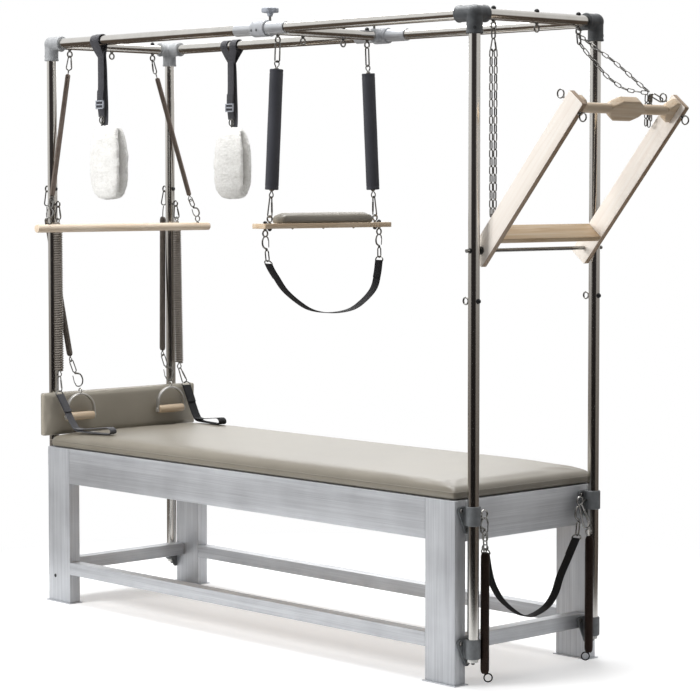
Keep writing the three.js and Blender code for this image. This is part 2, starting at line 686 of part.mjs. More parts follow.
// A helical spring's wire between two points, straight for one wire diameter at each end
class Helix extends THREE.Curve {
  constructor(from, to, radius, wire, curls) {
    super();
    this.axis = to.clone().sub(from);
    Object.assign(this, { from, radius, wire, curls });
    this.straight = (2 * wire) / this.axis.length();
    this.side = this.axis.clone().cross(ACROSS).normalize();
    this.other = this.axis.clone().cross(this.side).normalize();
  }

  getPoint(t) {
    const run = THREE.MathUtils.clamp((t - this.straight) / (1 - 2 * this.straight), 0, 1);
    const angle = 2 * Math.PI * this.curls * run;
    const point = along(this.from, this.axis, t);
    point.addScaledVector(this.side, this.radius * Math.cos(angle));
    return point.addScaledVector(this.other, this.radius * Math.sin(angle));
  }
}

function coil(from, to, radius, wire, curls) {
  const route = new Helix(from, to, radius, wire, curls);
  const wireSection = new THREE.Shape(Array.from({ length: curlSides }, (_, i) => {
    const angle = (2 * Math.PI * i) / curlSides;
    return new THREE.Vector2(wire * Math.cos(angle), wire * Math.sin(angle));
  }));
  const steps = curlSteps * curls;
  return solidOf(new THREE.ExtrudeGeometry(wireSection, { steps, extrudePath: route, bevelEnabled: false }));
}

// The least gap between neighbouring curls, measured on points along the wire
function leastCurlGap(from, to, radius, wire, curls) {
  const turn = 24; // samples of one curl
  const samples = new Helix(from, to, radius, wire, curls).getPoints(turn * curls);
  let least = Infinity;
  samples.forEach((point, i) => {
    for (let j = i + turn / 2; j < Math.min(i + turn + turn / 2, samples.length); j += 1) {
      least = Math.min(least, point.distanceTo(samples[j]) - 2 * wire);
    }
  });
  return least;
}

const legSpringFootX = headPostX + legSpringFoot.fromPost;
const legSpringTopZ = hung(legEyeShare) - legSpring.eyeDrop - springCap;
const legSpringEnds = (side) => [
  at(headPostX + legSpringTop.fromPost, side * legSpringTop.y, legSpringTopZ),
  at(legSpringFootX, side * legSpringFoot.y, legSpringFoot.z + springCap),
];
const legEye = (side) => at(headPostX + tubeRadius + eyeReach, side * postSpread, hung(legEyeShare));
const legPivot = (side) => at(legSpringFootX, side * legSpringFoot.y, footLoop.pivot);

function legSpringWithClip(side) {
  const [top, foot] = legSpringEnds(side);
  const wireCircle = legSpring.radius - legSpring.wire;
  const linkFoot = along(top, UP, springCap + linkWire);
  const upper = link(hangsIn(legEye(side)), linkFoot, FOOTWARD);
  const topCap = bar(along(top, DOWN, lap), along(top, UP, springCap), legSpring.radius);
  const footCap = bar(along(foot, UP, lap), along(foot, DOWN, springCap), legSpring.radius);
  const lowerTop = along(foot, DOWN, springCap - linkWire);
  const lower = link(lowerTop, along(legPivot(side), DOWN, linkWire), FOOTWARD);
  const neck = bar(along(top, UP, lap), along(linkFoot, UP, linkWire), linkWire, rodSides);
  const wire = coil(top, foot, wireCircle, legSpring.wire, legSpring.curls);
  return join(topCap, wire, footCap, upper, neck, lower);
}

// A foot loop: strap from the spring's clip down to the mat, where it ends in a flat sewn loop
function footLoopStrap(side) {
  const turn = THREE.MathUtils.degToRad(footLoop.turn);
  const forward = at(Math.cos(turn), -side * Math.sin(turn), 0);
  const start = at(headPostX + footLoop.fromPost, side * footLoop.y, 0);
  const low = mattressTop + mattressCrown - footLoopEye.drop + webbing / 2;
  const high = low + footLoopEye.height - webbing;
  const { along: bendAt, drop } = footLoopBend;
  const { reach } = footLoop;
  const tipShare = 1 / 4; // how far the loop's end is rounded
  const { round } = footLoopEye;
  const tip = reach - tipShare * round;
  const tipRise = tipShare * (high - low);
  const stitch = new THREE.Vector2(bendAt, footLoop.top - drop);
  const strapEnd = new THREE.Vector2(bendAt + 2 * webbing, stitch.y);
  const path = [new THREE.Vector2(0, footLoop.top), stitch, strapEnd];
  const loop = [
    stitch.clone(),
    new THREE.Vector2(bendAt + 2 * round, low),
    new THREE.Vector2(reach - round, low),
    new THREE.Vector2(tip, low + tipRise),
    new THREE.Vector2(tip, high - tipRise),
    new THREE.Vector2(reach - round, high),
    new THREE.Vector2(bendAt + 2 * round, high),
  ];
  const strap = placed(band(path, webbing, footLoopWidth), start, forward, UP);
  const eyeBand = placed(band(loop, webbing, footLoopWidth, true), start, forward, UP);
  const pivot = legPivot(side);
  const clipTop = along(pivot, UP, linkRise + linkWire);
  const strapTop = at(start.x, start.y, footLoop.top);
  const clipFoot = at(pivot.x, pivot.y, footLoop.clipFoot);
  const clip = link(clipTop, clipFoot, ACROSS);
  const tab = bar(along(clipFoot, UP, linkWire), along(strapTop, DOWN, webbing), linkWire, rodSides);
  return join(strap, eyeBand, clip, tab);
}

// Arm springs behind the head posts, each with a D-shaped handle in front of the headboard
const armEye = (side) => at(headPostX - tubeRadius - eyeReach, side * postSpread, hung(armEyeShare));
const handleRing = (side) => at(headPostX + handle.fromPost, side * handle.y, handle.ringHeight);

function armSpringWithClips(side) {
  const springTop = hung(armEyeShare) - armSpring.eyeDrop;
  const top = at(headPostX + armSpringTop.fromPost, side * armSpringTop.y, springTop);
  const foot = at(headPostX + armSpringFoot.fromPost, side * armSpringFoot.y, armSpring.foot);
  const linkFoot = along(top, UP, linkWidth);
  const upper = link(hangsIn(armEye(side)), linkFoot, FOOTWARD);
  const hook = bar(along(linkFoot, UP, linkWire), along(top, DOWN, lap), linkWire, rodSides);
  const clipTop = foot.clone().lerp(handleRing(side), 1 / 2);
  const ringTop = along(handleRing(side), UP, handle.ring);
  const lower = link(clipTop, along(ringTop, DOWN, seatRise + linkWire + handle.slack), FOOTWARD);
  const rodFoot = clipTop.clone().lerp(ringTop, linkWire / linkWidth);
  const rod = bar(along(foot, UP, lap), rodFoot, linkWire, rodSides);
  return join(spindle(top, foot, armSpring.radius), upper, hook, rod, lower);
}

function dHandle(side) {
  const centre = handleRing(side);
  const half = handle.width / 2 - handle.wire;
  const shoulderZ = grip.height + handleShoulder;
  const arch = new THREE.CatmullRomCurve3([
    at(centre.x, centre.y - grip.length / 2, grip.height),
    at(centre.x, centre.y - half, grip.height + grip.radius),
    at(centre.x, centre.y - half * Math.SQRT1_2, shoulderZ),
    at(centre.x, centre.y, handle.top),
    at(centre.x, centre.y + half * Math.SQRT1_2, shoulderZ),
    at(centre.x, centre.y + half, grip.height + grip.radius),
    at(centre.x, centre.y + grip.length / 2, grip.height),
  ]);
  const section = new THREE.Shape().absarc(0, 0, handle.wire, 0, 2 * Math.PI);
  const archSteps = 14;
  const options = { steps: archSteps, curveSegments: bendSides, extrudePath: arch, bevelEnabled: false };
  const wire = solidOf(new THREE.ExtrudeGeometry(section, options));
  const gripEnds = [-1, 1].map((way) => at(centre.x, centre.y + (way * grip.length) / 2, grip.height));
  return join(bar(...gripEnds, grip.radius), wire, ring(centre, ACROSS, handle.ring, eyeWire));
}

// Push-through bar, drawn in its own group: X runs along the boards from the pivot, Z across them
const pushPivot = railHeight - pushPivotDrop;
const pushGroup = new THREE.Group();
pushGroup.position.set(footPostX, 0, pushPivot);
pushGroup.rotation.y = -THREE.MathUtils.degToRad(pushAngle);
table.add(pushGroup);

function boardOutline() {
  const { tail, length, width, corner } = pushBoard;
  const shape = new THREE.Shape();
  const [low, high, half] = [-tail, length - tail, width / 2];
  shape.moveTo(low + corner, -half);
  shape.lineTo(high - corner, -half);
  shape.absarc(high - corner, -half + corner, corner, -Math.PI / 2, 0);
  shape.absarc(high - corner, half - corner, corner, 0, Math.PI / 2);
  shape.absarc(low + corner, half - corner, corner, Math.PI / 2, Math.PI);
  shape.absarc(low + corner, -half + corner, corner, Math.PI, (3 * Math.PI) / 2);
  return shape;
}

function pushSideBoard(side) {
  const middleY = side * (pushBoard.inner + pushBoard.thickness / 2);
  const options = { depth: pushBoard.thickness, bevelEnabled: false, curveSegments: bendSides };
  const plate = new THREE.ExtrudeGeometry(boardOutline(), options).translate(0, 0, -pushBoard.thickness / 2);
  const wood = placed(plate, at(0, middleY, 0), FOOTWARD, UP);
  const holeReach = pushBoard.thickness / 2 + overrun;
  const hole = bar(at(0, middleY - holeReach, 0), at(0, middleY + holeReach, 0), pushRod.radius + seam);
  const edge = pushBoard.width / 2;
  const backBase = at(pushEye.at, middleY, edge);
  const back = eyeBolt(backBase, UP, ACROSS, eyeReach, pushEye.backReach, false);
  const front = eyeBolt(at(pushEye.at, middleY, -edge), DOWN, ACROSS, eyeReach, pushEye.frontReach, false);
  const body = join(cut(wood, hole), back, front);
  if (side < 0) return body;
  const hookStart = at(pushEye.at - eyeRadius, middleY, edge + pushEye.backReach);
  const hookEnd = hookStart.clone().add(at(-pushHook.reach, -pushHook.inward, pushHook.rise));
  return join(body, link(hookStart, hookEnd, ACROSS, linkWidth, linkWire));
}

function pushShelfBoard() {
  const span = 2 * (pushBoard.inner - seam);
  const middle = at(pushShelf.start + pushShelf.thickness / 2, 0, 0);
  return block(middle, pushShelf.thickness, span, pushBoard.width);
}

function pushHandleBar() {
  const { grip: radius, block: half, middle, middleTip, end, endTip } = pushHandle;
  const outer = pushBoard.inner - seam;
  const blockShape = (points) => {
    const shape = new THREE.Shape(points.map(([y, s]) => new THREE.Vector2(y, s)));
    const plate = new THREE.ExtrudeGeometry(shape, { depth: 2 * radius, bevelEnabled: false });
    return placed(plate.translate(0, 0, -radius), at(pushHandle.at, 0, 0), ACROSS, FOOTWARD);
  };
  const centre = blockShape([[-middleTip, -half], [middleTip, -half], [middle, -radius], [middle, radius],
    [middleTip, half], [-middleTip, half], [-middle, radius], [-middle, -radius]]);
  const endBlocks = Object.values(sides).map((side) => {
    const points = [[outer, -half], [outer, half], [outer - endTip, half], [outer - end, radius],
      [outer - end, -radius], [outer - endTip, -half]];
    return blockShape(points.map(([y, s]) => [side * y, side * s]));
  });
  const round = bar(at(pushHandle.at, -outer + lap, 0), at(pushHandle.at, outer - lap, 0), radius);
  return join(centre, ...endBlocks, round);
}

function pushPivotRod() {
  const x = footPostX;
  const reach = postSpread + tubeRadius + pushRod.overhang - nut.height;
  const rod = bar(at(x, -reach, pushPivot), at(x, reach, pushPivot), pushRod.radius);
  const trim = Object.values(sides).flatMap((side) => {
    const spot = (y) => at(x, side * y, pushPivot);
    const collarStart = pushBoard.inner + pushBoard.thickness + seam;
    const outside = postSpread + tubeRadius + seam;
    const collarEnd = collarStart + pushRod.collarLength - 2 * seam;
    const nutBar = bar(spot(outside), spot(outside + nut.height), pushRod.nut, nutSides);
    return [bar(spot(collarStart), spot(collarEnd), pushRod.collar), nutBar];
  });
  return join(rod, ...trim);
}

// Safety chains on the foot crossbar, each a doubled strand
function nearSafetyChain() {
  const eye = crossbarEyeCentre(ends.foot, -crossbarEye);
  return link(hangsIn(eye), at(eye.x, eye.y, pushPivot + nearChainFoot), ACROSS, chainWidth, linkWire);
}

function chainStrand(route, steps) {
  const section = new THREE.Shape().absarc(0, 0, chainWire, 0, 2 * Math.PI);
  const options = { steps, curveSegments: bendSides, extrudePath: route, bevelEnabled: false };
  return solidOf(new THREE.ExtrudeGeometry(section, options));
}

function farSafetyChain() {
  const eye = crossbarEyeCentre(ends.foot, crossbarEye);
  const clipFoot = at(eye.x + linkWire, eye.y, eye.z - 2 * linkWidth);
  const clip = link(hangsIn(eye), clipFoot, ACROSS);
  const start = along(clipFoot, UP, 2 * linkWire);
  const end = at(eye.x + farChain.endX, farChain.endY, railHeight - farChain.endDrop);
  const sag = start.clone().add(end).multiplyScalar(1 / 2);
  sag.add(at(-farChain.sagBack, 0, -farChain.sagDrop));
  const sagSteps = 8;
  const lower = chainStrand(new THREE.QuadraticBezierCurve3(start, sag, end), sagSteps);
  const bundleFoot = at(end.x - farChain.bundleBack, end.y, end.z - farChain.bundle);
  const bundle = link(along(end, UP, chainWire), bundleFoot, ACROSS, linkWidth, chainWire);
  return join(clip, bar(start, end, chainWire, rodSides), lower, bundle);
}

// A fleece sling on its strap round a rail
function slingPadSolid(padX, y) {
  const sectionShares = [[0, 0.3, 0.45], [0.04, 0.5, 0.62], [0.14, 0.72, 0.78], [0.35, 0.9, 0.9], [0.6, 1, 1],
    [0.8, 0.98, 0.97], [0.93, 0.8, 0.8], [1, 0.5, 0.5]];
  const top = railHeight - slingPad.topDrop;
  const steps = 14;
  const rings = sectionShares.map(([dropShare, depthShare, lengthShare]) =>
    Array.from({ length: steps }, (_, i) => {
      const angle = (2 * Math.PI * i) / steps;
      const outX = (slingPad.length / 2) * lengthShare * Math.cos(angle);
      const outY = (slingPad.depth / 2) * depthShare * Math.sin(angle);
      return at(padX + outX, y + outY, top - dropShare * slingPad.height);
    }));
  const slitZ = top - slingSlit.drop - slingSlit.height / 2;
  const slit = block(at(padX, y, slitZ), slingPad.length * 2, slingSlit.width, slingSlit.height);
  return cut(loft(rings.reverse()), slit);
}

function slingOnRail(side, place) {
  const y = side * postSpread;
  const [wrapX, strapX, padX] = [place.wrap, place.strap, place.pad].map((distance) => headPostX + distance);
  const half = place.wrapLength / 2;
  const inner = (tubeRadius + touch) / Math.cos(Math.PI / roundSides); // lets the wrap turn on the rail
  const spot = (x) => at(x, y, railHeight);
  const wrap = bar(spot(wrapX - half), spot(wrapX + half), inner + sling.band);
  const bore = bar(spot(wrapX - half - lap), spot(wrapX + half + lap), inner);
  const strapFoot = railHeight - sling.strapDrop;
  const ringHeight = railHeight - sling.ringDrop;
  const path = [
    new THREE.Vector2(wrapX, railHeight - inner),
    new THREE.Vector2(strapX, strapFoot),
    new THREE.Vector2(strapX, ringHeight - lap),
  ];
  const edge = sling.strapWidth / 2;
  const outline = bandOutline(path, edge, false).concat(bandOutline(path, -edge, false).reverse());
  const options = { depth: sling.band, bevelEnabled: false };
  const webbingShape = new THREE.ExtrudeGeometry(new THREE.Shape(outline), options);
  const strap = placed(webbingShape, at(0, y + sling.band / 2, 0), FOOTWARD, UP);
  const buckleAt = at(strapX, y, strapFoot - sling.buckle / 2);
  const buckle = block(buckleAt, sling.strapWidth + sling.band, sling.buckleDepth, sling.buckle);
  const padTop = at(padX, y, railHeight - slingPad.topDrop - sling.band);
  const loop = link(at(strapX, y, ringHeight + linkWire), padTop, ACROSS, sling.strapWidth, linkWire);
  return join(cut(join(wrap, strap), bore), buckle, loop, slingPadSolid(padX, y));
}

// Foot springs and the foot strap on the foot end's upper brackets, two links beside each other in each eye
function besideIn(eye, way, slack) {
  const shift = linkWire + touch;
  const rise = shift * Math.tan(Math.PI / eyeSteps) + seatRise + linkWire + slack;
  return at(eye.x, eye.y + way * shift, eye.z - bracketEye.radius + rise);
}

function footSpringWithClip(side) {
  const eye = footBracketEye(side);
  const x = footPostX + footSpring.fromPost;
  const top = at(x, side * footSpring.y, footSpring.top);
  const foot = at(x, side * footSpring.y, footSpring.foot);
  const linkFoot = along(top, UP, linkWidth / 2);
  const clip = link(besideIn(eye, side, slantSlack), linkFoot, ACROSS, wideLink);
  const hook = bar(along(linkFoot, UP, linkWire), along(top, DOWN, lap), linkWire, rodSides);
  const loopFoot = at(x, side * (footSpring.y - footSpring.loopIn), footSpring.loopFoot);
  const loop = link(along(foot, UP, lap), loopFoot, FOOTWARD, linkWidth, linkWire);
  return join(spindle(top, foot, footSpring.radius), clip, hook, loop);
}

function footHangingStrap() {
  const { endY, end, low, width, clipFoot } = footStrap;
  const x = footPostX + footStrap.fromPost;
  const routeShares = [[-1, 0], [-0.93, 0.25], [-0.82, 0.48], [-0.62, 0.74], [-0.36, 0.93], [-0.08, 1],
    [0.2, 0.96], [0.42, 0.84], [0.62, 0.6], [0.85, 0.3], [1, 0]];
  const path = routeShares.map(([y, drop]) => new THREE.Vector2(y * endY, end - drop * (end - low)));
  const strap = hangingStrap(x, path, width);
  const clips = Object.values(sides).map((side) => {
    const eye = footBracketEye(side);
    const foot = at(x, side * endY, clipFoot);
    const clip = link(besideIn(eye, -side, 0), foot, ACROSS);
    return join(clip, bar(along(foot, UP, linkWire), at(x, side * endY, end - webbing), linkWire, rodSides));
  });
  return join(strap, ...clips);
}

addPart("head_end_frame", endFrame(ends.head), aluminium());
addPart("foot_end_frame", endFrame(ends.foot), aluminium());
addPart("bed_deck", deck(), plywood());
addPart("mattress", mattress(), vinyl());
addPart("headboard", headboardPanel(), vinyl());
for (const [end, endSign] of Object.entries(ends)) {
  addPart(`${end}_crossbar`, crossbar(endSign), polished());
}
for (const name of sideNames) {
  const side = sides[name];
  addPart(`${name}_side_apron`, sideMember(side, bedHeight - apronHeight, apronHeight), aluminium());
  addPart(`${name}_side_stretcher`, sideMember(side, stretcherBase, stretcherHeight), aluminium());
  addPart(`${name}_rail`, rail(side), polished());
  for (const [end, endSign] of Object.entries(ends)) {
    addPart(`${end}_${name}_post`, post(endSign, side), polished());
    addPart(`${end}_${name}_corner_fitting`, cornerFitting(endSign, side), casting());
    addPart(`${end}_${name}_upper_bracket`, clampBracket(endSign, side, bracket.upper), greyCasting());
    addPart(`${end}_${name}_lower_bracket`, clampBracket(endSign, side, bracket.lower), greyCasting());
  }
  addPart(`${name}_slide_knob`, starKnob(side), black());
  addPart(`${name}_trapeze_spring`, trapezeSide(side), darkWeb());
  addPart(`${name}_roll_down_spring`, rollDownSpring(side), darkSpring());
  addPart(`${name}_leg_spring`, legSpringWithClip(side), springSteel());
  addPart(`${name}_foot_loop`, footLoopStrap(side), darkWeb());
  addPart(`${name}_arm_spring`, armSpringWithClips(side), darkSpring());
  addPart(`${name}_hand_grip`, dHandle(side), zinc());
  addPart(`${name}_foot_spring`, footSpringWithClip(side), darkSpring());
  addPart(`${name}_push_board`, pushSideBoard(side), maple(), pushGroup);
}
addPart("slide_bar", slideBar(), polished());
addPart("trapeze_plank", seatPlank(), maple());
addPart("trapeze_cushion", seatCushion(), vinyl());
addPart("trapeze_foot_strap", trapezeFootStrap(), darkWeb());
addPart("roll_down_bar", rollDownBar(), maple());
addPart("push_shelf", pushShelfBoard(), maple(), pushGroup);
addPart("push_handle", pushHandleBar(), maple(), pushGroup);
addPart("push_pivot_rod", pushPivotRod(), zinc());
addPart("near_safety_chain", nearSafetyChain(), zinc());
addPart("far_safety_chain", farSafetyChain(), zinc());
addPart("foot_strap", footHangingStrap(), darkWeb());
addPart("near_sling", slingOnRail(sides.near, nearSling), fleece());
addPart("far_sling", slingOnRail(sides.far, farSling), fleece());

for (const name of sideNames) {
  const [top, foot] = legSpringEnds(sides[name]);
  const gap = leastCurlGap(top, foot, legSpring.radius - legSpring.wire, legSpring.wire, legSpring.curls);
  console.log(`${name} leg spring, least gap between curls: ${gap.toFixed(2)} mm`);
}

// The origin goes to the middle of the whole table's outline, on the floor
const outline = new THREE.Box3().setFromObject(table, true);
const middle = outline.getCenter(at(0, 0, 0));
table.position.set(-middle.x, -middle.y, 0);
const whole = new THREE.Group();
whole.add(table);

export default whole;
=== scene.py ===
"""Looks of the pilates trapeze table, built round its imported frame.

Shapes are worked out in millimetres from the spot on the floor under the bed's middle, with X towards the
foot end, the near side at -Y and Z up. They go into the meshes in metres, at the place that the frame gives.
"""

import itertools
import math

import bpy
import numpy as np
from mathutils import Matrix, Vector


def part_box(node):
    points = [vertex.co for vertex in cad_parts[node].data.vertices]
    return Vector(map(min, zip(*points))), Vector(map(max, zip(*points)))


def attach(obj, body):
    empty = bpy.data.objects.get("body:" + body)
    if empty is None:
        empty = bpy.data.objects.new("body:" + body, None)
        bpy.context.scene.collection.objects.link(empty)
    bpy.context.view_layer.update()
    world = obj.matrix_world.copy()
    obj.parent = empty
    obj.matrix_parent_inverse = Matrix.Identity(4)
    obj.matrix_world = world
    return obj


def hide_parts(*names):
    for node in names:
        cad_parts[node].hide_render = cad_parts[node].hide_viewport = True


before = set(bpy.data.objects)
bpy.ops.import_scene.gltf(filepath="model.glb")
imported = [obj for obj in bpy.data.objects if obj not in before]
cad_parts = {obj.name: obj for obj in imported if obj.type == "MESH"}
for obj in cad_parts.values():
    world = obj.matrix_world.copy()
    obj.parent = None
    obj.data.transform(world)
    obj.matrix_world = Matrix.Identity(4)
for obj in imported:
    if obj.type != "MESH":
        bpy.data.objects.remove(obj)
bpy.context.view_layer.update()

deck_low, deck_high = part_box("bed_deck")
bed_middle = np.array([(deck_low.x + deck_high.x) / 2, 0.0, 0.0])
X, Y, Z = np.eye(3)
sides = {"near": -1, "far": 1}
ends = {"head": -1, "foot": 1}

# Sizes that several pieces share
bed_x, bed_y, bed_top = 1114.0, 347.0, 607.0
timber_depth, leg_width = 49.0, 137.0
apron_height, stretcher_height, stretcher_z = 136, 48, 138
post_x = {"head": -1143.0, "foot": 1146.0}
post_y, tube_r, rail_z = 295.0, 19.0, 2180.0
through_tube = 36
slide_x = 107.0
eye_drop = 17
eye_z = rail_z - tube_r - eye_drop
push_turn = math.radians(50.2)


# Surfaces worked out as whole arrays

def unit(v):
    """v / |v|, row by row."""
    v = np.asarray(v, float)
    return v / np.linalg.norm(v, axis=-1, keepdims=True)


def at(x, y, z):
    return np.array([x, y, z], float)


class Shell:
    """A skin: its points, the faces' corners in one run, each face's corner count, each corner's UV pair."""

    def __init__(self, points, corners, sizes, uv):
        self.points, self.corners, self.sizes, self.uv = points, corners, sizes, uv

    def __add__(self, other):
        return Shell(np.vstack([self.points, other.points]),
                     np.concatenate([self.corners, other.corners + len(self.points)]),
                     np.concatenate([self.sizes, other.sizes]), np.vstack([self.uv, other.uv]))

    def put(self, turn, start=(0, 0, 0)):
        """Each point p becomes turn p + start."""
        return Shell(self.points @ np.asarray(turn, float).T + start, self.corners, self.sizes, self.uv)


def joined(shells):
    first, *others = shells
    for shell in others:
        first = first + shell
    return first


def skin(rings, looped=False, capped=True):
    """The grid S(i, j) = rings[i, j], with j going round and a quad between neighbours.

    UV is the distance along i and round j, and the two ends are closed by a flat face each.
    """
    rows, cols = rings.shape[:2]
    i, j = np.meshgrid(np.arange(rows if looped else rows - 1), np.arange(cols), indexing="ij")
    i2, j2 = (i + 1) % rows, (j + 1) % cols
    corners = np.stack([i * cols + j, i * cols + j2, i2 * cols + j2, i2 * cols + j], -1).reshape(-1)
    middle = rings.mean(axis=1)
    run = way_along(np.vstack([middle, middle[:1]]))
    widest = rings[rows // 2]
    girth = way_along(np.vstack([widest, widest[:1]]))
    u = np.stack([run[i], run[i], run[i + 1], run[i + 1]], -1).reshape(-1)
    v = np.stack([girth[j], girth[j + 1], girth[j + 1], girth[j]], -1).reshape(-1)
    sizes, uv = np.full(i.size, 4), np.column_stack([u, v])
    if capped and not looped:
        around = np.arange(cols)
        corners = np.concatenate([corners, around[::-1], (rows - 1) * cols + around])
        sizes = np.concatenate([sizes, [cols, cols]])
        uv = np.vstack([uv, np.column_stack([0 * around, girth[around[::-1]]]),
                        np.column_stack([0 * around + run[rows - 1], girth[around]])])
    return Shell(rings.reshape(-1, 3), corners, sizes, uv)


def facing_at(angle):
    """(cos t, sin t), row by row."""
    return np.column_stack([np.cos(angle), np.sin(angle)])


def round_steps(count):
    """Even angles once round."""
    return np.arange(count) * 2 * np.pi / count


def circle(radius, facets):
    """(r cos t, r sin t), for one radius or a row of them."""
    return np.asarray(radius, float)[..., None, None] * facing_at(round_steps(facets))


def squared(v, power):
    """sign(v) |v|^power, which fills a circle out towards a square for a power below 1."""
    return np.sign(v) * np.abs(v) ** power


def square_to(axis):
    """Two unit directions square to an axis and to each other."""
    across = unit(np.cross(axis, [0.31, 0.52, 0.79]))
    return across, np.cross(axis, across)


def way_along(points):
    """The distance travelled along a line, up to each of its points."""
    return np.concatenate([[0], np.cumsum(np.linalg.norm(np.diff(points, axis=0), axis=1))])


def spots_on(points, way, distances):
    """The spots at the given distances along a line, by straight blends between its points."""
    return np.column_stack([np.interp(distances, way, points[:, n]) for n in range(3)])


def slab(thick, wide, corner, steps=3):
    """A rectangle with round corners, counter-clockwise."""
    quarter = np.repeat(np.arange(4), steps + 1)
    angle = (quarter + np.tile(np.linspace(0, 1, steps + 1), 4)) * np.pi / 2
    signs = np.array([[1, 1], [-1, 1], [-1, -1], [1, -1]])[quarter]
    return signs * (np.array([thick, wide]) / 2 - corner) + corner * facing_at(angle)


def sweep(path, outline, up, looped=False, capped=True):
    """The outline's (a, b) carried along a path: S = path + a side + b lift.

    side = up x heading, and lift = heading x side.
    """
    path = np.asarray(path, float)
    heading = unit(np.roll(path, -1, 0) - np.roll(path, 1, 0) if looped else np.gradient(path, axis=0))
    side = unit(np.cross(up, heading))
    lift = np.cross(heading, side)
    rings = path[:, None] + outline[..., :1] * side[:, None] + outline[..., 1:] * lift[:, None]
    return skin(rings, looped, capped)


def turned(start, axis, profile, facets=32):
    """Pairs (d, r) turned round an axis: S = start + d axis + r (cos t U + sin t V)."""
    axis = unit(axis)
    across, over = square_to(axis)
    far, radius = np.asarray(profile, float).T
    ring = circle(radius, facets)
    return skin(start + far[:, None, None] * axis + ring[..., :1] * across + ring[..., 1:] * over)


def rod(start, end, radius, edge=0.6, facets=24):
    """A straight round bar with its end edges broken."""
    length = np.linalg.norm(np.asarray(end) - start)
    profile = [(0, radius - edge), (edge, radius), (length - edge, radius), (length, radius - edge)]
    return turned(start, np.asarray(end) - start, profile, facets)


def ball(centre, radius, facets=32):
    """A sphere: r cos t along Z and r sin t round it, with its poles closed."""
    turn = np.linspace(0.06, np.pi - 0.06, facets // 2)
    return turned(centre, Z, np.column_stack([-radius * np.cos(turn), radius * np.sin(turn)]), facets)


def plate(outline, depth, edge, origin, along, across, steps=3):
    """An outline given depth, with both rims rounded.

    At each rim its points are drawn in by edge (1 - sin t) and lifted by edge (1 - cos t).
    """
    along, across = unit(along), unit(across)
    ahead = np.roll(outline, -1, 0) - np.roll(outline, 1, 0)
    outward = unit(np.column_stack([ahead[:, 1], -ahead[:, 0]]))
    turn = np.linspace(0, np.pi / 2, steps + 1)
    inset, rise = edge * (1 - np.sin(turn)), edge * (1 - np.cos(turn))
    inset = np.concatenate([inset, inset[::-1]])[:, None, None]
    rise = np.concatenate([rise, depth - rise[::-1]])[:, None, None]
    flat = outline - inset * outward
    return skin(origin + flat[..., :1] * along + flat[..., 1:] * across + rise * np.cross(along, across))


def block(centre, size, edge=1.5):
    """A box with every edge rounded."""
    x, y, z = size
    return plate(slab(x, y, edge), z, edge * 0.98, np.asarray(centre, float) - z / 2 * Z, X, Y)


def smooth(points, count, looped=False):
    """A Catmull-Rom curve through the points, cut into even steps."""
    p = np.asarray(points, float)
    p = np.vstack([p[-1:], p, p[:2]]) if looped else np.vstack([2 * p[0] - p[1], p, 2 * p[-1] - p[-2]])
    spans = len(p) - 3
    t = np.linspace(0, spans, spans * 40 + 1)
    k = np.minimum(t.astype(int), spans - 1)
    f = (t - k)[:, None]
    a, b, c, d = p[k], p[k + 1], p[k + 2], p[k + 3]
    fine = (2 * b + (c - a) * f + (2 * a - 5 * b + 4 * c - d) * f**2 + (3 * b - 3 * c + d - a) * f**3) / 2
    way = way_along(fine)
    found = spots_on(fine, way, np.linspace(0, way[-1], count + looped))
    return found[:-1] if looped else found


def hoop(centre, axis, radius, wire, facets=8, steps=28):
    """A ring of round wire."""
    axis = unit(axis)
    across, over = square_to(axis)
    spot = circle(radius, steps)
    path = centre + spot[:, :1] * across + spot[:, 1:] * over
    return sweep(path, circle(wire, facets), axis, looped=True)


def loop_path(top, foot, facing, top_width, foot_width, wire, steps=9):
    """A closed line of two half circles, of their own widths, joined by straight runs."""
    top, foot = np.asarray(top, float), np.asarray(foot, float)
    down = unit(foot - top)
    across = unit(np.cross(down, facing))
    high, low = top_width / 2 - wire, foot_width / 2 - wire
    t = np.linspace(0, np.pi, steps)[:, None]
    upper = top + down * (wire + high) + high * (np.cos(t) * across - np.sin(t) * down)
    lower = foot - down * (wire + low) + low * (np.sin(t) * down - np.cos(t) * across)
    return np.vstack([upper, lower])


def link(top, foot, facing, width=22, wire=2.8, facets=8):
    """An oval link whose outer ends are top and foot."""
    return sweep(loop_path(top, foot, facing, width, width, wire), circle(wire, facets), facing, looped=True)


def carabiner(top, foot, facing, width=24, wire=2.7):
    """A pear-shaped hook: narrow at the top, wide at the foot, with a gate on one side."""
    path = loop_path(top, foot, facing, width * 0.6, width, wire, 11)
    whole = np.asarray(foot, float) - top
    across = unit(np.cross(unit(whole), facing))
    high = top + whole * 0.27 - across * (width * 0.34 - wire)
    low = top + whole * 0.72 - across * (width * 0.47 - wire)
    gate = rod(high, low, wire * 1.35, 1.2, 10)
    return sweep(path, circle(wire, 8), facing, looped=True) + gate + ball(low, wire * 1.5, 10)


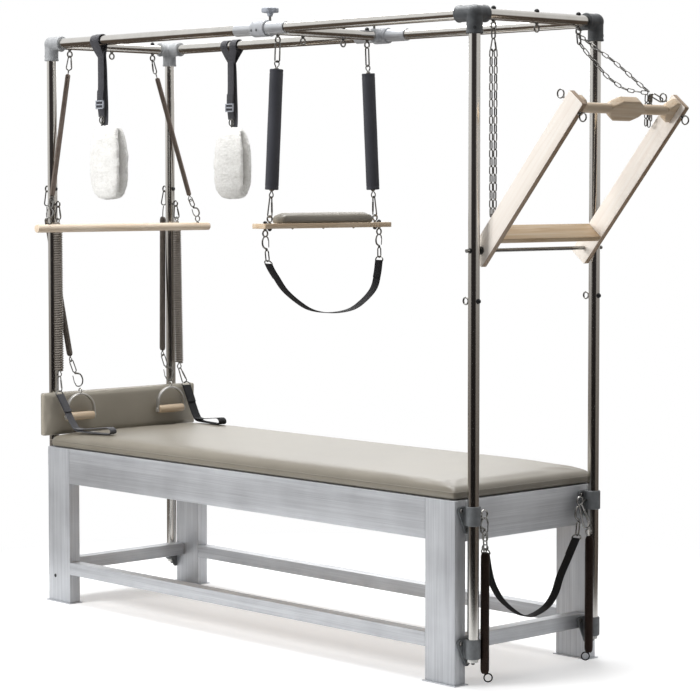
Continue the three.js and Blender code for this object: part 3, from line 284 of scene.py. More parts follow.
def swivel_snap(top, foot, facing):
    """A bolt snap: an eye at the foot, a swivel barrel, and a hooked body round the ring at the top."""
    top, foot = np.asarray(top, float), np.asarray(foot, float)
    down = unit(foot - top)
    across = unit(np.cross(down, facing))
    length = np.linalg.norm(foot - top)
    share = np.array([[0.50, 0.0], [0.40, 0.144], [0.22, 0.171], [0.08, 0.108], [0.03, 0.0], [0.08, -0.108],
                      [0.2, -0.135]])
    hook = top + share[:, :1] * length * down + share[:, 1:] * length * across
    body = sweep(smooth(hook, 26), circle(np.linspace(3.6, 2.2, 26), 8), facing)
    bolt = rod(top + length * (0.46 * down - 0.12 * across), top + length * (0.2 * down - 0.15 * across),
               1.8, 0.5, 8)
    barrel = turned(top + down * length * 0.47, down, [(0, 3), (1, 4.6), (8, 4.6), (9, 3)], 16)
    eye = link(top + down * (length * 0.47 + 6), foot, facing, 20, 2.4)
    return body + bolt + barrel + eye


def eye_bolt(base, direction, axis, depth=0.0, reach=17, radius=11, wire=3.1):
    """A ring on a shank, with a washer at its base; the shank runs on through the carrier."""
    base, direction = np.asarray(base, float), unit(direction)
    shank = rod(base + direction * (reach - radius), base - direction * depth, 3.8, 0.4, 12)
    washer = turned(base, direction, [(-0.4, 7.2), (1.2, 7.2), (1.8, 6.2), (3.6, 5.6), (4.2, 4.4)], 20)
    return hoop(base + direction * reach, axis, radius, wire) + shank + washer


def acorn_nut(base, direction):
    """A washer, a six-sided nut and its dome."""
    base, direction = np.asarray(base, float), unit(direction)
    dome = [(5 + 4.6 * math.sin(t), 6.4 * math.cos(t)) for t in np.linspace(0, 1.35, 6)]
    return (turned(base, direction, [(-0.5, 8.6), (1.2, 8.6), (1.5, 8.0)], 24)
            + turned(base, direction, [(0.8, 7.9), (1.4, 8.3), (4.8, 8.3), (5.6, 7.4)], 6)
            + turned(base, direction, dome, 20))


def grub_screw(base, direction, radius=4.6):
    """A socket screw: a low rim round its sunk middle."""
    rim = [(-2, radius), (0.5, radius), (0.9, radius - 0.5), (0.9, radius * 0.55), (-0.9, radius * 0.45)]
    return turned(base, direction, rim, 20)


def pan_screw(base, direction, radius=6.0):
    """A washer and a low domed head with a sunk socket."""
    head = [(-0.4, radius * 1.3), (0.9, radius * 1.3), (1.0, radius), (2.8, radius * 0.92),
            (3.9, radius * 0.6), (4.0, radius * 0.4), (2.4, radius * 0.34)]
    return turned(base, direction, head, 24)


def spring(top, foot, radius, wire, turns, taper=0.0, tip=0.45, steps=14, facets=6):
    """Wire wound round a line: p(t) = top + t axis + R(t) (cos wt U + sin wt V).

    R is the full reach but for the last taper turns at each end, where it closes in to the share tip of it.
    """
    top, foot = np.asarray(top, float), np.asarray(foot, float)
    t = np.linspace(0, 1, turns * steps + 1)
    axis = unit(foot - top)
    across = unit(np.cross(axis, Y))
    over = np.cross(axis, across)
    near_end = np.clip(np.minimum(t, 1 - t) * turns / taper, 0, 1) if taper else np.ones_like(t)
    reach = ((radius - wire) * (tip + (1 - tip) * np.sqrt(1 - (1 - near_end) ** 2)))[:, None]
    angle = (2 * np.pi * turns * t)[:, None]
    path = top + t[:, None] * (foot - top) + reach * (np.cos(angle) * across + np.sin(angle) * over)
    return sweep(path, circle(wire, facets), axis)


def end_loop(neck, direction, facing, radius, wire):
    """A spring's end wire: a neck that opens into a round eye."""
    direction, facing = unit(direction), unit(facing)
    across = np.cross(facing, direction)
    t = np.radians(np.linspace(-146, 146, 19))[:, None]
    round_part = neck + direction * (radius * 1.75) + radius * (np.cos(t) * direction + np.sin(t) * across)
    path = np.vstack([neck - direction * 3 - across * 0.4, round_part, neck - direction * 3 + across * 0.4])
    return sweep(smooth(path, 44), circle(wire, 8), facing)


def chain(points, pitch, width=15, wire=2.0, up=Z, first_flat=True):
    """Oval links along a line, each one pitch on from the last and turned by a quarter about the line."""
    fine = smooth(points, 400)
    way = way_along(fine)
    count = max(1, round(way[-1] / pitch))
    spots = (np.arange(count) + 0.5) * way[-1] / count
    place, ahead, behind = (spots_on(fine, way, np.clip(spots + shift, 0, way[-1]))
                            for shift in (0, pitch / 2, -pitch / 2))
    heading = unit(ahead - behind)
    side = unit(np.cross(up, heading))
    lift = np.cross(heading, side)
    flat = ((np.arange(count) % 2 == 0) == first_flat)[:, None]
    wide, thin = np.where(flat, side, lift), np.where(flat, lift, -side)
    half = way[-1] / count / 2 + wire * 0.95
    one = sweep(loop_path(half * Z, -half * Z, Y, width, width, wire, 6), circle(wire, 6), Y, looped=True)
    turns = np.stack([wide, thin, np.cross(wide, thin)], axis=1)
    placed = one.points @ turns + place[:, None]
    first_point = np.arange(count)[:, None] * len(one.points)
    return Shell(placed.reshape(-1, 3), (one.corners + first_point).reshape(-1), np.tile(one.sizes, count),
                 np.tile(one.uv, (count, 1)))


def flat_loop(half_x, half_y, corner, z, steps=8):
    """A rectangle with round corners, lying at a height."""
    loop = slab(2 * half_x, 2 * half_y, corner, steps)
    return np.column_stack([loop, np.full(len(loop), z)])


def pad(half_a, half_b, height, round_edge, crown, corner, steps=8):
    """A crowned cushion on a flat base: rounded loops drawn in from level to level.

    Past the round edge the top stands at height - crown (1 - s)^2.2, with s from the edge to the middle.
    """
    turn = np.linspace(0, np.pi / 2, 7)
    side = height - crown - round_edge
    levels = [(2.0, 0.0), (0.0, 3.0), (-0.6, side / 2), (0.0, side)]
    levels += [(round_edge * (1 - math.cos(t)), side + round_edge * math.sin(t)) for t in turn[1:]]
    least = min(half_a, half_b)
    for s in np.linspace(0.12, 0.97, 9):
        levels.append((round_edge + s * (least - round_edge), height - crown * (1 - s) ** 2.2))
    rings = []
    for inset, z in levels:
        bend = min(max(corner - inset, 0.6), least - inset)
        rings.append(flat_loop(half_a - inset, half_b - inset, bend, z, steps))
    return skin(np.array(rings))


def lattice_noise(p, seed):
    """Smooth noise in -1 to 1: hashed values at whole points, blended between them by 3 t^2 - 2 t^3."""
    cell = np.floor(p).astype(np.int64)
    f = p - cell
    f = f * f * (3 - 2 * f)
    total = np.zeros(len(p))
    for corner in itertools.product((0, 1), repeat=3):
        h = (cell + corner) @ np.array([374761393, 668265263, 69069069]) + seed * 1013904223
        h = (h ^ (h >> 13)) * 1274126177 & 0x7FFFFFFF
        total += ((h ^ (h >> 16)) % 65536 / 32767.5 - 1) * np.prod(np.where(corner, f, 1 - f), axis=1)
    return total


# Meshes and pieces

def mesh_of(name, shell, sharp=38.0):
    """A shell as a mesh in metres, smooth but for edges sharper than an angle in degrees."""
    mesh = bpy.data.meshes.new(name)
    mesh.vertices.add(len(shell.points))
    mesh.vertices.foreach_set("co", (shell.points / 1000 + bed_middle).astype(np.float32).ravel())
    mesh.loops.add(len(shell.corners))
    mesh.loops.foreach_set("vertex_index", shell.corners.astype(np.int32))
    mesh.polygons.add(len(shell.sizes))
    first_corners = np.concatenate([[0], np.cumsum(shell.sizes)[:-1]])
    mesh.polygons.foreach_set("loop_start", first_corners.astype(np.int32))
    mesh.update(calc_edges=True)
    mesh.uv_layers.new(name="along").data.foreach_set("uv", (shell.uv / 1000).astype(np.float32).ravel())
    mesh.shade_smooth()
    mesh.set_sharp_from_angle(angle=math.radians(sharp))
    return mesh


def linked(name, mesh):
    made = bpy.data.objects.new(name, mesh)
    bpy.context.scene.collection.objects.link(made)
    return made


def finished_mesh(made):
    """The object's mesh with its modifiers applied; the object goes."""
    bpy.context.view_layer.update()
    mesh = bpy.data.meshes.new_from_object(made.evaluated_get(bpy.context.evaluated_depsgraph_get()))
    bpy.data.objects.remove(made)
    return mesh


def fused(shell, voxel, passes=8):
    """One fine skin round a form or overlapping shapes, with a casting's soft hollows where they meet."""
    made = linked("form", mesh_of("form", shell))
    remesh = made.modifiers.new("skin", "REMESH")
    remesh.mode, remesh.voxel_size, remesh.use_smooth_shade = "VOXEL", voxel / 1000, True
    relax = made.modifiers.new("relax", "SMOOTH")
    relax.factor, relax.iterations = 0.5, passes
    return finished_mesh(made)


def points_of(mesh):
    found = np.empty(len(mesh.vertices) * 3, np.float32)
    mesh.vertices.foreach_get("co", found)
    return found.reshape(-1, 3).astype(float)


def inflated(shell, voxel, push, cap, held_below, frames=14):
    """A stuffed cover: the form in a fine skin, pinned where it is fixed, and blown up by cloth pressure.

    held_below(points) is true where the cover is fixed. No point moves by more than cap.
    """
    mesh = fused(shell, voxel, 3)
    start = points_of(mesh)
    made = linked("stuffing", mesh)
    pins = made.vertex_groups.new(name="fixed")
    pins.add([int(n) for n in np.flatnonzero(held_below((start - bed_middle) * 1000))], 1.0, "REPLACE")
    cloth = made.modifiers.new("cloth", "CLOTH")
    cover = cloth.settings
    cover.quality, cover.mass, cover.vertex_group_mass = 5, 0.3, "fixed"
    cover.tension_stiffness = cover.compression_stiffness = cover.shear_stiffness = 40
    cover.bending_stiffness, cover.air_damping = 4, 2
    cover.use_pressure, cover.uniform_pressure_force = True, push
    cover.effector_weights.gravity = 0
    cloth.point_cache.frame_start, cloth.point_cache.frame_end = 1, frames
    for f in range(1, frames + 1):
        bpy.context.scene.frame_set(f)
    done = finished_mesh(made)
    bpy.context.scene.frame_set(1)
    moved = points_of(done) - start
    size = np.linalg.norm(moved, axis=1, keepdims=True)
    moved *= np.minimum(1, cap / 1000 / np.maximum(size, 1e-9))
    done.vertices.foreach_set("co", (start + moved).astype(np.float32).ravel())
    done.update()
    return done


def piece(name, shape, look, body, stands_for=None, rounds=0):
    """One named piece on its body, in its look, subdivided by so many rounds. It may stand for a CAD node."""
    mesh = shape if isinstance(shape, bpy.types.Mesh) else mesh_of(name, shape)
    mesh.name = name
    mesh.materials.clear()
    mesh.materials.append(look)
    made = linked(name, mesh)
    if rounds:
        subdivide = made.modifiers.new("subdivide", "SUBSURF")
        subdivide.levels = subdivide.render_levels = rounds
    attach(made, body)
    if stands_for:
        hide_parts(stands_for)
    return made


def hardware(name, shells, body="table"):
    """Bright plated metal: rings, links, hooks, bolts and screws."""
    return piece(name, joined(shells), bright_zinc, body)


def black_trim(name, shells, body="table"):
    """Black nuts, set screws and plugs."""
    return piece(name, joined(shells), black_plastic, body)


# Shader maths

def rgb(red, green, blue):
    """A colour written as 0-255 screen values, as linear light."""
    c = np.array([red, green, blue]) / 255
    return tuple(float(v) for v in np.where(c <= 0.04045, c / 12.92, ((c + 0.055) / 1.055) ** 2.4)) + (1.0,)


class Value:
    """A node's output. Sums, differences and products of it add Math nodes."""

    def __init__(self, shader, output):
        self.shader, self.output = shader, output

    def __add__(self, other):
        return self.shader.math("ADD", self, other)

    def __radd__(self, other):
        return self.shader.math("ADD", other, self)

    def __sub__(self, other):
        return self.shader.math("SUBTRACT", self, other)

    def __rsub__(self, other):
        return self.shader.math("SUBTRACT", other, self)

    def __mul__(self, other):
        return self.shader.math("MULTIPLY", self, other)

    def __rmul__(self, other):
        return self.shader.math("MULTIPLY", other, self)


class Shader:
    """A node tree that is being written."""

    def __init__(self, tree):
        self.tree = tree
        tree.nodes.clear()

    def node(self, kind, settings, sockets, output=0):
        """Adds a node: its settings first, then its sockets' values or links. Returns the chosen output."""
        made = self.tree.nodes.new(kind)
        for key, value in settings.items():
            if key == "stops":
                while len(made.color_ramp.elements) < len(value):
                    made.color_ramp.elements.new(0.5)
                for element, (place, colour) in zip(made.color_ramp.elements, value):
                    element.position, element.color = place, colour
            else:
                setattr(made, key, value)
        for key, value in sockets.items():
            if isinstance(value, Value):
                self.tree.links.new(value.output, made.inputs[key])
            else:
                made.inputs[key].default_value = value
        return Value(self, made.outputs[output]) if made.outputs else made

    def split(self, vector):
        """A vector's three parts."""
        first = self.node("ShaderNodeSeparateXYZ", {}, {0: vector})
        return [Value(self, part) for part in first.output.node.outputs]

    def math(self, operation, *values):
        return self.node("ShaderNodeMath", {"operation": operation}, dict(enumerate(values)))

    def clamp(self, value):
        return self.node("ShaderNodeMath", {"operation": "ADD", "use_clamp": True}, {0: value, 1: 0.0})

    def mix(self, factor, a, b):
        return self.node("ShaderNodeMix", {"data_type": "RGBA"}, {0: factor, 6: a, 7: b}, 2)

    def space(self, size, turn=(0, 0, 0)):
        """Object coordinates, turned and counted in steps of the given size in metres along each axis."""
        where = self.node("ShaderNodeTexCoord", {}, {}, "Object")
        return self.node("ShaderNodeMapping", {"vector_type": "TEXTURE"},
                         {"Vector": where, "Rotation": turn, "Scale": size})

    def noise(self, size, detail=2.0, distortion=0.0, turn=(0, 0, 0)):
        """Cloudy noise whose spots have the given size in metres, one number or one for each axis."""
        size = (size,) * 3 if isinstance(size, float) else size
        return self.node("ShaderNodeTexNoise", {}, {"Vector": self.space(size, turn), "Scale": 1.0,
                                                   "Detail": detail, "Distortion": distortion})

    def ramp(self, value, *stops):
        return self.node("ShaderNodeValToRGB", {"stops": stops}, {"Fac": value})

    def bump(self, height, distance, strength=1.0):
        return self.node("ShaderNodeBump", {}, {"Height": height, "Distance": distance, "Strength": strength})


def finish(name, build, **fixed):
    """A material: build(shader) gives what varies over it, by socket, and fixed what doesn't."""
    material = bpy.data.materials.new(name)
    material.use_nodes = True
    shader = Shader(material.node_tree)
    sockets = {key.replace("_", " ").title().replace("Ior", "IOR"): value for key, value in fixed.items()}
    sockets.update(build(shader))
    surface = shader.node("ShaderNodeBsdfPrincipled", {}, sockets)
    shader.node("ShaderNodeOutputMaterial", {}, {"Surface": surface})
    return material


def satin_aluminium(axis):
    """Anodised profile: long brush lines along one axis, faint handling marks, cloudy tone."""
    size = [0.0011] * 3
    size[axis] = 0.22
    wide = [0.009] * 3
    wide[axis] = 0.5

    def build(s):
        lines = s.noise(size, 4.0)
        bands = s.noise(wide, 2.0)
        cloud = s.noise(0.16, 3.0)
        tone = s.clamp(lines * 0.55 + bands * 0.3 + cloud * 0.35 - 0.12)
        return {"Base Color": s.ramp(tone, (0.2, rgb(165, 167, 172)), (0.8, rgb(235, 238, 241))),
                "Roughness": 0.34 + lines * 0.16 + cloud * 0.08,
                "Normal": s.bump(lines, 0.00006, 0.6)}
    return finish(f"satin_aluminium_{'xyz'[axis]}", build, metallic=0.72)


def polished_steel(s):
    """Bright tube, a little smeared by handling."""
    smear = s.noise((0.05, 0.05, 0.4), 3.0)
    return {"Base Color": s.mix(smear, rgb(206, 203, 197), rgb(226, 224, 220)),
            "Roughness": 0.14 + smear * 0.02}


def cast(dark, light):
    """Tumbled casting under satin paint: a fine pebbled skin, with paler rubbed patches."""
    def build(s):
        grit = s.noise(0.0012, 3.0)
        patch = s.noise(0.02, 3.0)
        tone = s.clamp(patch * 0.8 + grit * 0.4 - 0.1)
        return {"Base Color": s.ramp(tone, (0.25, dark), (0.8, light)),
                "Roughness": 0.4 + grit * 0.18,
                "Normal": s.bump(grit, 0.00016, 0.7)}
    return build


def leathery(dark, light, grain=0.0013, depth=0.00018, low=0.33):
    """Upholstery vinyl: a cell grain pressed into it, with soft cloudy tone."""
    def build(s):
        cells = s.node("ShaderNodeTexVoronoi", {"feature": "SMOOTH_F1"},
                       {"Vector": s.space((grain,) * 3), "Scale": 1.0, "Smoothness": 0.6}, "Distance")
        fine = s.noise(grain / 3, 2.0)
        cloud = s.noise(0.12, 3.0)
        return {"Base Color": s.ramp(s.clamp(cloud * 0.8 + cells * 0.3), (0.2, dark), (0.85, light)),
                "Roughness": low + cells * 0.12 + cloud * 0.06,
                "Normal": s.bump(cells * 0.8 + fine * 0.2, depth, 0.55)}
    return build


def maple(name, shade):
    """Maple along Y: growth lines along the grain, short pores, and a satin lacquer. The shade argument
    darkens each copy of this one maple by its own amount: painted shade on the darker parts, painted light on
    the paler ones.
    """
    def build(s):
        growth = s.noise((0.014, 0.3, 0.014), 4.0, 0.9)
        lines = s.noise((0.0022, 0.15, 0.0022), 3.0)
        pores = s.noise((0.0007, 0.012, 0.0007), 2.0)
        tone = s.clamp(growth * 0.9 + lines * 0.45 + pores * 0.12 - 0.22)
        late = rgb(208 - shade, 184 - shade * 1.2, 157 - shade * 1.5)
        common = rgb(228 - shade, 210 - shade * 1.2, 188 - shade * 1.5)
        early = rgb(239 - shade, 227 - shade * 1.1, 211 - shade * 1.3)
        return {"Base Color": s.ramp(tone, (0.18, late), (0.5, common), (0.85, early)),
                "Roughness": 0.36 + pores * 0.2,
                "Normal": s.bump(pores * 0.6 + lines * 0.4, 0.00008, 0.5)}
    return finish(name, build, coat_weight=0.15, coat_roughness=0.25)


def woven(dark, light):
    """Webbing: warp ribs along the strap crossed by picks, on its own UV."""
    def build(s):
        along, across, _ = s.split(s.node("ShaderNodeUVMap", {"uv_map": "along"}, {}))
        picks = s.math("SINE", along * (2 * math.pi / 0.0021))
        ribs = s.math("SINE", across * (2 * math.pi / 0.0026))
        weave = s.clamp(picks * ribs * 0.5 + 0.5)
        wear = s.noise(0.006, 3.0)
        return {"Base Color": s.ramp(s.clamp(weave * 0.55 + wear * 0.6 - 0.08), (0.1, dark), (0.9, light)),
                "Roughness": 0.68 + weave * 0.2,
                "Normal": s.bump(weave, 0.00035, 0.8)}
    return build


def bright_wire(s):
    """Zinc-plated wire and screws, with small marks."""
    mark = s.noise(0.004, 3.0)
    return {"Base Color": s.mix(mark, rgb(122, 121, 118), rgb(170, 169, 166)),
            "Roughness": 0.16 + mark * 0.14,
            "Normal": s.bump(mark, 0.00003, 0.5)}


def drawn_wire(dark, light, low=0.26):
    """Plated spring wire: fine draw lines and uneven tone."""
    def build(s):
        tone = s.noise(0.018, 3.0)
        fine = s.noise(0.0008, 2.0)
        return {"Base Color": s.mix(tone, dark, light), "Roughness": low + fine * 0.16 + tone * 0.06,
                "Normal": s.bump(fine, 0.00004, 0.4)}
    return build


def moulded(dark, light, low=0.38):
    """Moulded plastic: a fine spark-eroded skin and faint clouds."""
    def build(s):
        grit = s.noise(0.0009, 2.0)
        cloud = s.noise(0.015, 2.0)
        return {"Base Color": s.mix(cloud, dark, light), "Roughness": low + grit * 0.15,
                "Normal": s.bump(grit, 0.00007, 0.5)}
    return build


def glued_maple(s):
    """Pale glued maple, its grain along the side boards: clear broad faces, and browner layered edges. The
    brown of the edges is partly the layered edge grain and partly painted shade, chosen by which way the
    surface faces; the near-white of the broad faces is partly painted light.
    """
    turn, layer = (0, -push_turn, 0), 0.022 / 6
    growth = s.noise((0.34, 0.014, 0.014), 4.0, 0.9, turn)
    lines = s.noise((0.17, 0.0022, 0.0022), 3.0, 0.0, turn)
    layers = s.noise((1.0, layer, 1.0), 1.0, 0.0, turn)
    # Which way the surface faces picks out the edges: their brown is partly layered edge grain and partly
    # painted shade.
    straight_out = s.math("ABSOLUTE", s.split(s.node("ShaderNodeTexCoord", {}, {}, "Normal"))[1])
    edge = s.clamp((0.75 - straight_out) * 5)
    broad = s.ramp(s.clamp(growth * 0.9 + lines * 0.35 - 0.15), (0.18, rgb(240, 229, 217)),
                   (0.5, rgb(248, 240, 230)), (0.85, rgb(252, 247, 240)))
    narrow = s.ramp(s.clamp(layers * 1.2 + lines * 0.2 - 0.2), (0.25, rgb(133, 108, 86)),
                    (0.7, rgb(182, 157, 130)))
    return {"Base Color": s.mix(edge, broad, narrow), "Roughness": 0.36 + lines * 0.1,
            "Normal": s.bump(lines, 0.00006, 0.5)}


def fleecy(s):
    """White fleece: small curls, tufts of them, and fine fibre."""
    curls = s.noise(0.0042, 4.0, 1.2)
    tufts = s.noise(0.013, 3.0, 0.6)
    fibre = s.noise(0.0009, 2.0)
    return {"Base Color": s.ramp(s.clamp(curls * 0.6 + tufts * 0.6 - 0.1), (0.15, rgb(200, 198, 192)),
                                 (0.5, rgb(231, 230, 226)), (0.9, rgb(242, 241, 238))),
            "Roughness": 0.9 + fibre * 0.1,
            "Normal": s.bump(curls * 0.7 + fibre * 0.3, 0.0016, 0.9)}


def plywood(s):
    """The deck under the mattress: broad growth figure and pores."""
    growth = s.noise((0.3, 0.02, 0.02), 4.0, 1.0)
    pores = s.noise((0.015, 0.0008, 0.0008), 2.0)
    return {"Base Color": s.ramp(growth, (0.25, rgb(158, 122, 80)), (0.75, rgb(203, 170, 124))),
            "Roughness": 0.6 + pores * 0.2, "Normal": s.bump(pores, 0.0002, 0.6)}


aluminium_x, aluminium_y, aluminium_z = (satin_aluminium(axis) for axis in range(3))
steel_tube = finish("polished_steel_tube", polished_steel, metallic=1.0)
# The head and foot elbows take a paler and a darker copy of one casting: painted light on the head ones,
# painted shade on the foot ones.
head_elbow_casting_painted_light = finish("head_elbow_casting_painted_light", cast(rgb(142, 144, 146), rgb(176, 178, 180)), metallic=0.1)
foot_elbow_casting_painted_shade = finish("foot_elbow_casting_painted_shade", cast(rgb(72, 74, 76), rgb(100, 103, 105)), metallic=0.25)
clamp_casting = finish("clamp_casting", cast(rgb(98, 101, 103), rgb(130, 133, 135)), metallic=0.3)
mid_casting = finish("mid_casting", cast(rgb(152, 154, 158), rgb(180, 182, 186)), metallic=0.1)
taupe_vinyl = finish("taupe_vinyl", leathery(rgb(116, 110, 98), rgb(131, 125, 113)), specular_ior_level=0.8)
# The headboard's vinyl is a paler copy of the mattress vinyl: painted light on the headboard.
headboard_vinyl_painted_light = finish("headboard_vinyl_painted_light", leathery(rgb(148, 142, 129), rgb(165, 158, 145)),
                         specular_ior_level=0.6)
sleeve_vinyl = finish("sleeve_vinyl", leathery(rgb(50, 51, 56), rgb(68, 69, 75), 0.0011, 0.00012, 0.46))
# Copies of one maple, each darkened by its own amount: painted light on the paler bar, painted shade on the
# turned parts and, most, on the shelf.
bar_maple, turned_maple, shelf_maple = (maple(f"maple_{name}", shade) for name, shade in (
    ("bar", 6), ("along_y", 22), ("shelf", 38)))
board_maple = finish("maple_board", glued_maple, coat_weight=0.15, coat_roughness=0.25)
dark_webbing = finish("dark_webbing", woven(rgb(38, 38, 41), rgb(70, 70, 76)), sheen_weight=0.25,
                      sheen_roughness=0.5)
black_webbing = finish("black_webbing", woven(rgb(8, 8, 9), rgb(25, 25, 27)), sheen_weight=0.03,
                       sheen_roughness=0.5, specular_ior_level=0.3)
bright_zinc = finish("bright_zinc", bright_wire, metallic=1.0)
chain_steel = finish("chain_steel", drawn_wire(rgb(98, 96, 93), rgb(140, 138, 135), 0.2), metallic=1.0)
arch_steel = finish("arch_steel", drawn_wire(rgb(176, 174, 170), rgb(208, 206, 202), 0.26), metallic=0.8)
brown_spring = finish("brown_spring_steel", drawn_wire(rgb(124, 110, 101), rgb(162, 148, 138)), metallic=0.7)
grey_spring = finish("grey_spring_steel", drawn_wire(rgb(122, 116, 108), rgb(156, 149, 141), 0.34),
                     metallic=0.6)
arm_steel = finish("smoked_spring_steel", drawn_wire(rgb(100, 93, 87), rgb(134, 126, 118), 0.32),
                   metallic=0.6)
foot_steel = finish("dark_brown_spring_steel", drawn_wire(rgb(42, 32, 27), rgb(66, 52, 45)), metallic=0.75)
black_plastic = finish("black_plastic", moulded(rgb(17, 17, 18), rgb(27, 27, 29)))
knob_plastic = finish("grey_knob_plastic", moulded(rgb(146, 150, 158), rgb(168, 172, 180)))
white_plug = finish("white_plug_plastic", moulded(rgb(208, 208, 204), rgb(228, 228, 225)))
fleece = finish("white_fleece", fleecy, sheen_weight=0.4, sheen_roughness=0.6, subsurface_weight=0.35,
                subsurface_scale=0.01, subsurface_radius=(1.0, 1.0, 1.0))
deck_wood = finish("deck_plywood", plywood)


push_pivot = at(post_x["foot"], 0, 1418)
push_along = at(math.cos(push_turn), 0, math.sin(push_turn))
push_across = at(-math.sin(push_turn), 0, math.cos(push_turn))
slant = unit(at(0.7, -0.7, 0))
clamp_z = {"upper": 557, "lower": 122}
plank_base, plank_top, outer_eye, inner_eye = 1475, 1493, 280, 259
handle_x, handle_y = -1062, 227


# Bed

def bed_frame():
    """Hollow profiles: legs on foot plates, end and side members, with closed joints between them."""
    seam, edge, plate_height, plate_rim = 0.6, 1.6, 4, 8

    def members(x, y, length, width):
        """An apron under the bed's top, and a stretcher near the floor."""
        return (block((x, y, bed_top - apron_height / 2), (length, width, apron_height), edge),
                block((x, y, stretcher_z), (length, width, stretcher_height), edge))

    for end, way in ends.items():
        legs, plates = [], []
        for side in sides.values():
            x, y = way * (bed_x - leg_width / 2), side * (bed_y - timber_depth / 2)
            legs.append(block((x, y, (bed_top + plate_height) / 2),
                              (leg_width, timber_depth, bed_top - plate_height), edge))
            plates.append(block((x, y, plate_height / 2),
                                (leg_width + 2 * plate_rim, timber_depth + 2 * plate_rim, plate_height), 1.2))
        piece(f"{end}_legs", joined(legs), aluminium_z, "table", f"{end}_end_frame")
        piece(f"{end}_foot_plates", joined(plates), aluminium_x, "table")
        cross = members(way * (bed_x - timber_depth / 2), 0, timber_depth, 2 * (bed_y - timber_depth) - seam)
        piece(f"{end}_cross_members", joined(cross), aluminium_y, "table")
    for name, side in sides.items():
        apron, stretcher = members(0, side * (bed_y - timber_depth / 2), 2 * (bed_x - leg_width) - seam,
                                   timber_depth)
        piece(f"{name}_apron_profile", apron, aluminium_x, "table", f"{name}_side_apron")
        piece(f"{name}_stretcher_profile", stretcher, aluminium_x, "table",
              f"{name}_side_stretcher")
    plug_profile = [(0, 7), (1.6, 7), (2.2, 6), (2.2, 3.4), (1.4, 3)]
    black_trim("leg_hole_plug", [turned(at(-1071, -bed_y + 1, 101), -Y, plug_profile, 24)])
    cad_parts["bed_deck"].material_slots[0].material = deck_wood


def mattress():
    """A deep pad: a low wall up to its fold, then a round shoulder and a crown that falls off to the ends.

    Levels h from 0 to 1 go up from the fold. Each loop is drawn in by its own amounts from ends and sides.
    """
    low, fold, rise = bed_top + 0.4, 634.0, 41.0
    half_x, half_y, corner = 1110.5, 345.6, 16
    h = np.concatenate([np.linspace(0, 0.9, 24), np.linspace(0.92, 1, 9)])
    level = [0, 0.24, 0.43, 0.62, 0.69, 0.79, 0.905, 0.976, 1]
    end_in = np.interp(h, level, [0, 5, 13, 58, 112, 210, 400, 700, 1020]) + 5 * np.sin(np.pi * h)
    side_in = np.interp(h, level, [0, 1.2, 5, 14, 19, 31, 110, 220, 318])
    rings = [flat_loop(half_x - 4, half_y - 4, 14, low),
             flat_loop(half_x - 0.5, half_y - 0.5, corner, low + 3.5)]
    rings += [flat_loop(half_x - along, half_y - across, min(corner + along * 0.6, half_y - across - 2), z)
              for along, across, z in zip(end_in, side_in, fold + rise * h)]
    mesh = inflated(skin(np.array(rings)), 13, 1.6, 2.0, lambda p: p[:, 2] < fold - 4)
    made = piece("mattress_cover", mesh, taupe_vinyl, "table", "mattress", 1)
    seam_line = flat_loop(half_x + 0.8, half_y + 0.8, corner, fold - 0.5)
    piece("mattress_welt", sweep(seam_line, circle(1.5, 8), Z, looped=True), taupe_vinyl, "table")


def headboard():
    """A thin board wrapped in padded vinyl, with its cover's hem round the back edge."""
    turn = np.column_stack([Y, Z, X])
    form = pad(380.5, 83.4, 26.5, 8, 3.0, 5).put(turn, at(-1115.8, 0, 733.3))
    mesh = inflated(form, 6, 2.2, 2.5, lambda p: p[:, 0] < -1107)
    # The cover takes the paler copy of the mattress vinyl: painted light.
    made = piece("headboard_cover", mesh, headboard_vinyl_painted_light, "table", "headboard")
    edge = slab(2 * 379.6, 2 * 81.9, 5, 5)
    path = np.column_stack([np.full(len(edge), -1112.5), edge[:, 0], 734.3 + edge[:, 1]])
    piece("headboard_hem", sweep(path, circle(1.0, 8), X, looped=True), headboard_vinyl_painted_light, "table")


# Canopy frame

def cross_tube(name, stem, x, half, spots, body, node):
    """A tube across the table, with its eye bolts hanging below it and their nuts on top, at the given y."""
    tube = rod(at(x, -half, rail_z), at(x, half, rail_z), tube_r, 0.6, 48)
    piece(name, tube, steel_tube, body, node)
    hardware(f"{stem}_eyes", [eye_bolt(at(x, y, rail_z - tube_r), -Z, X, through_tube) for y in spots], body)
    black_trim(f"{stem}_nuts", [acorn_nut(at(x, y, rail_z + tube_r), Z) for y in spots], body)


def post_eye(post, height, way):
    """An eye bolt through a post, its ring on the side that way points to, and its nut on the other."""
    centre = post + height * Z
    out = way * tube_r * X
    return eye_bolt(centre + out, way * X, Y, through_tube), acorn_nut(centre - out, -way * X)


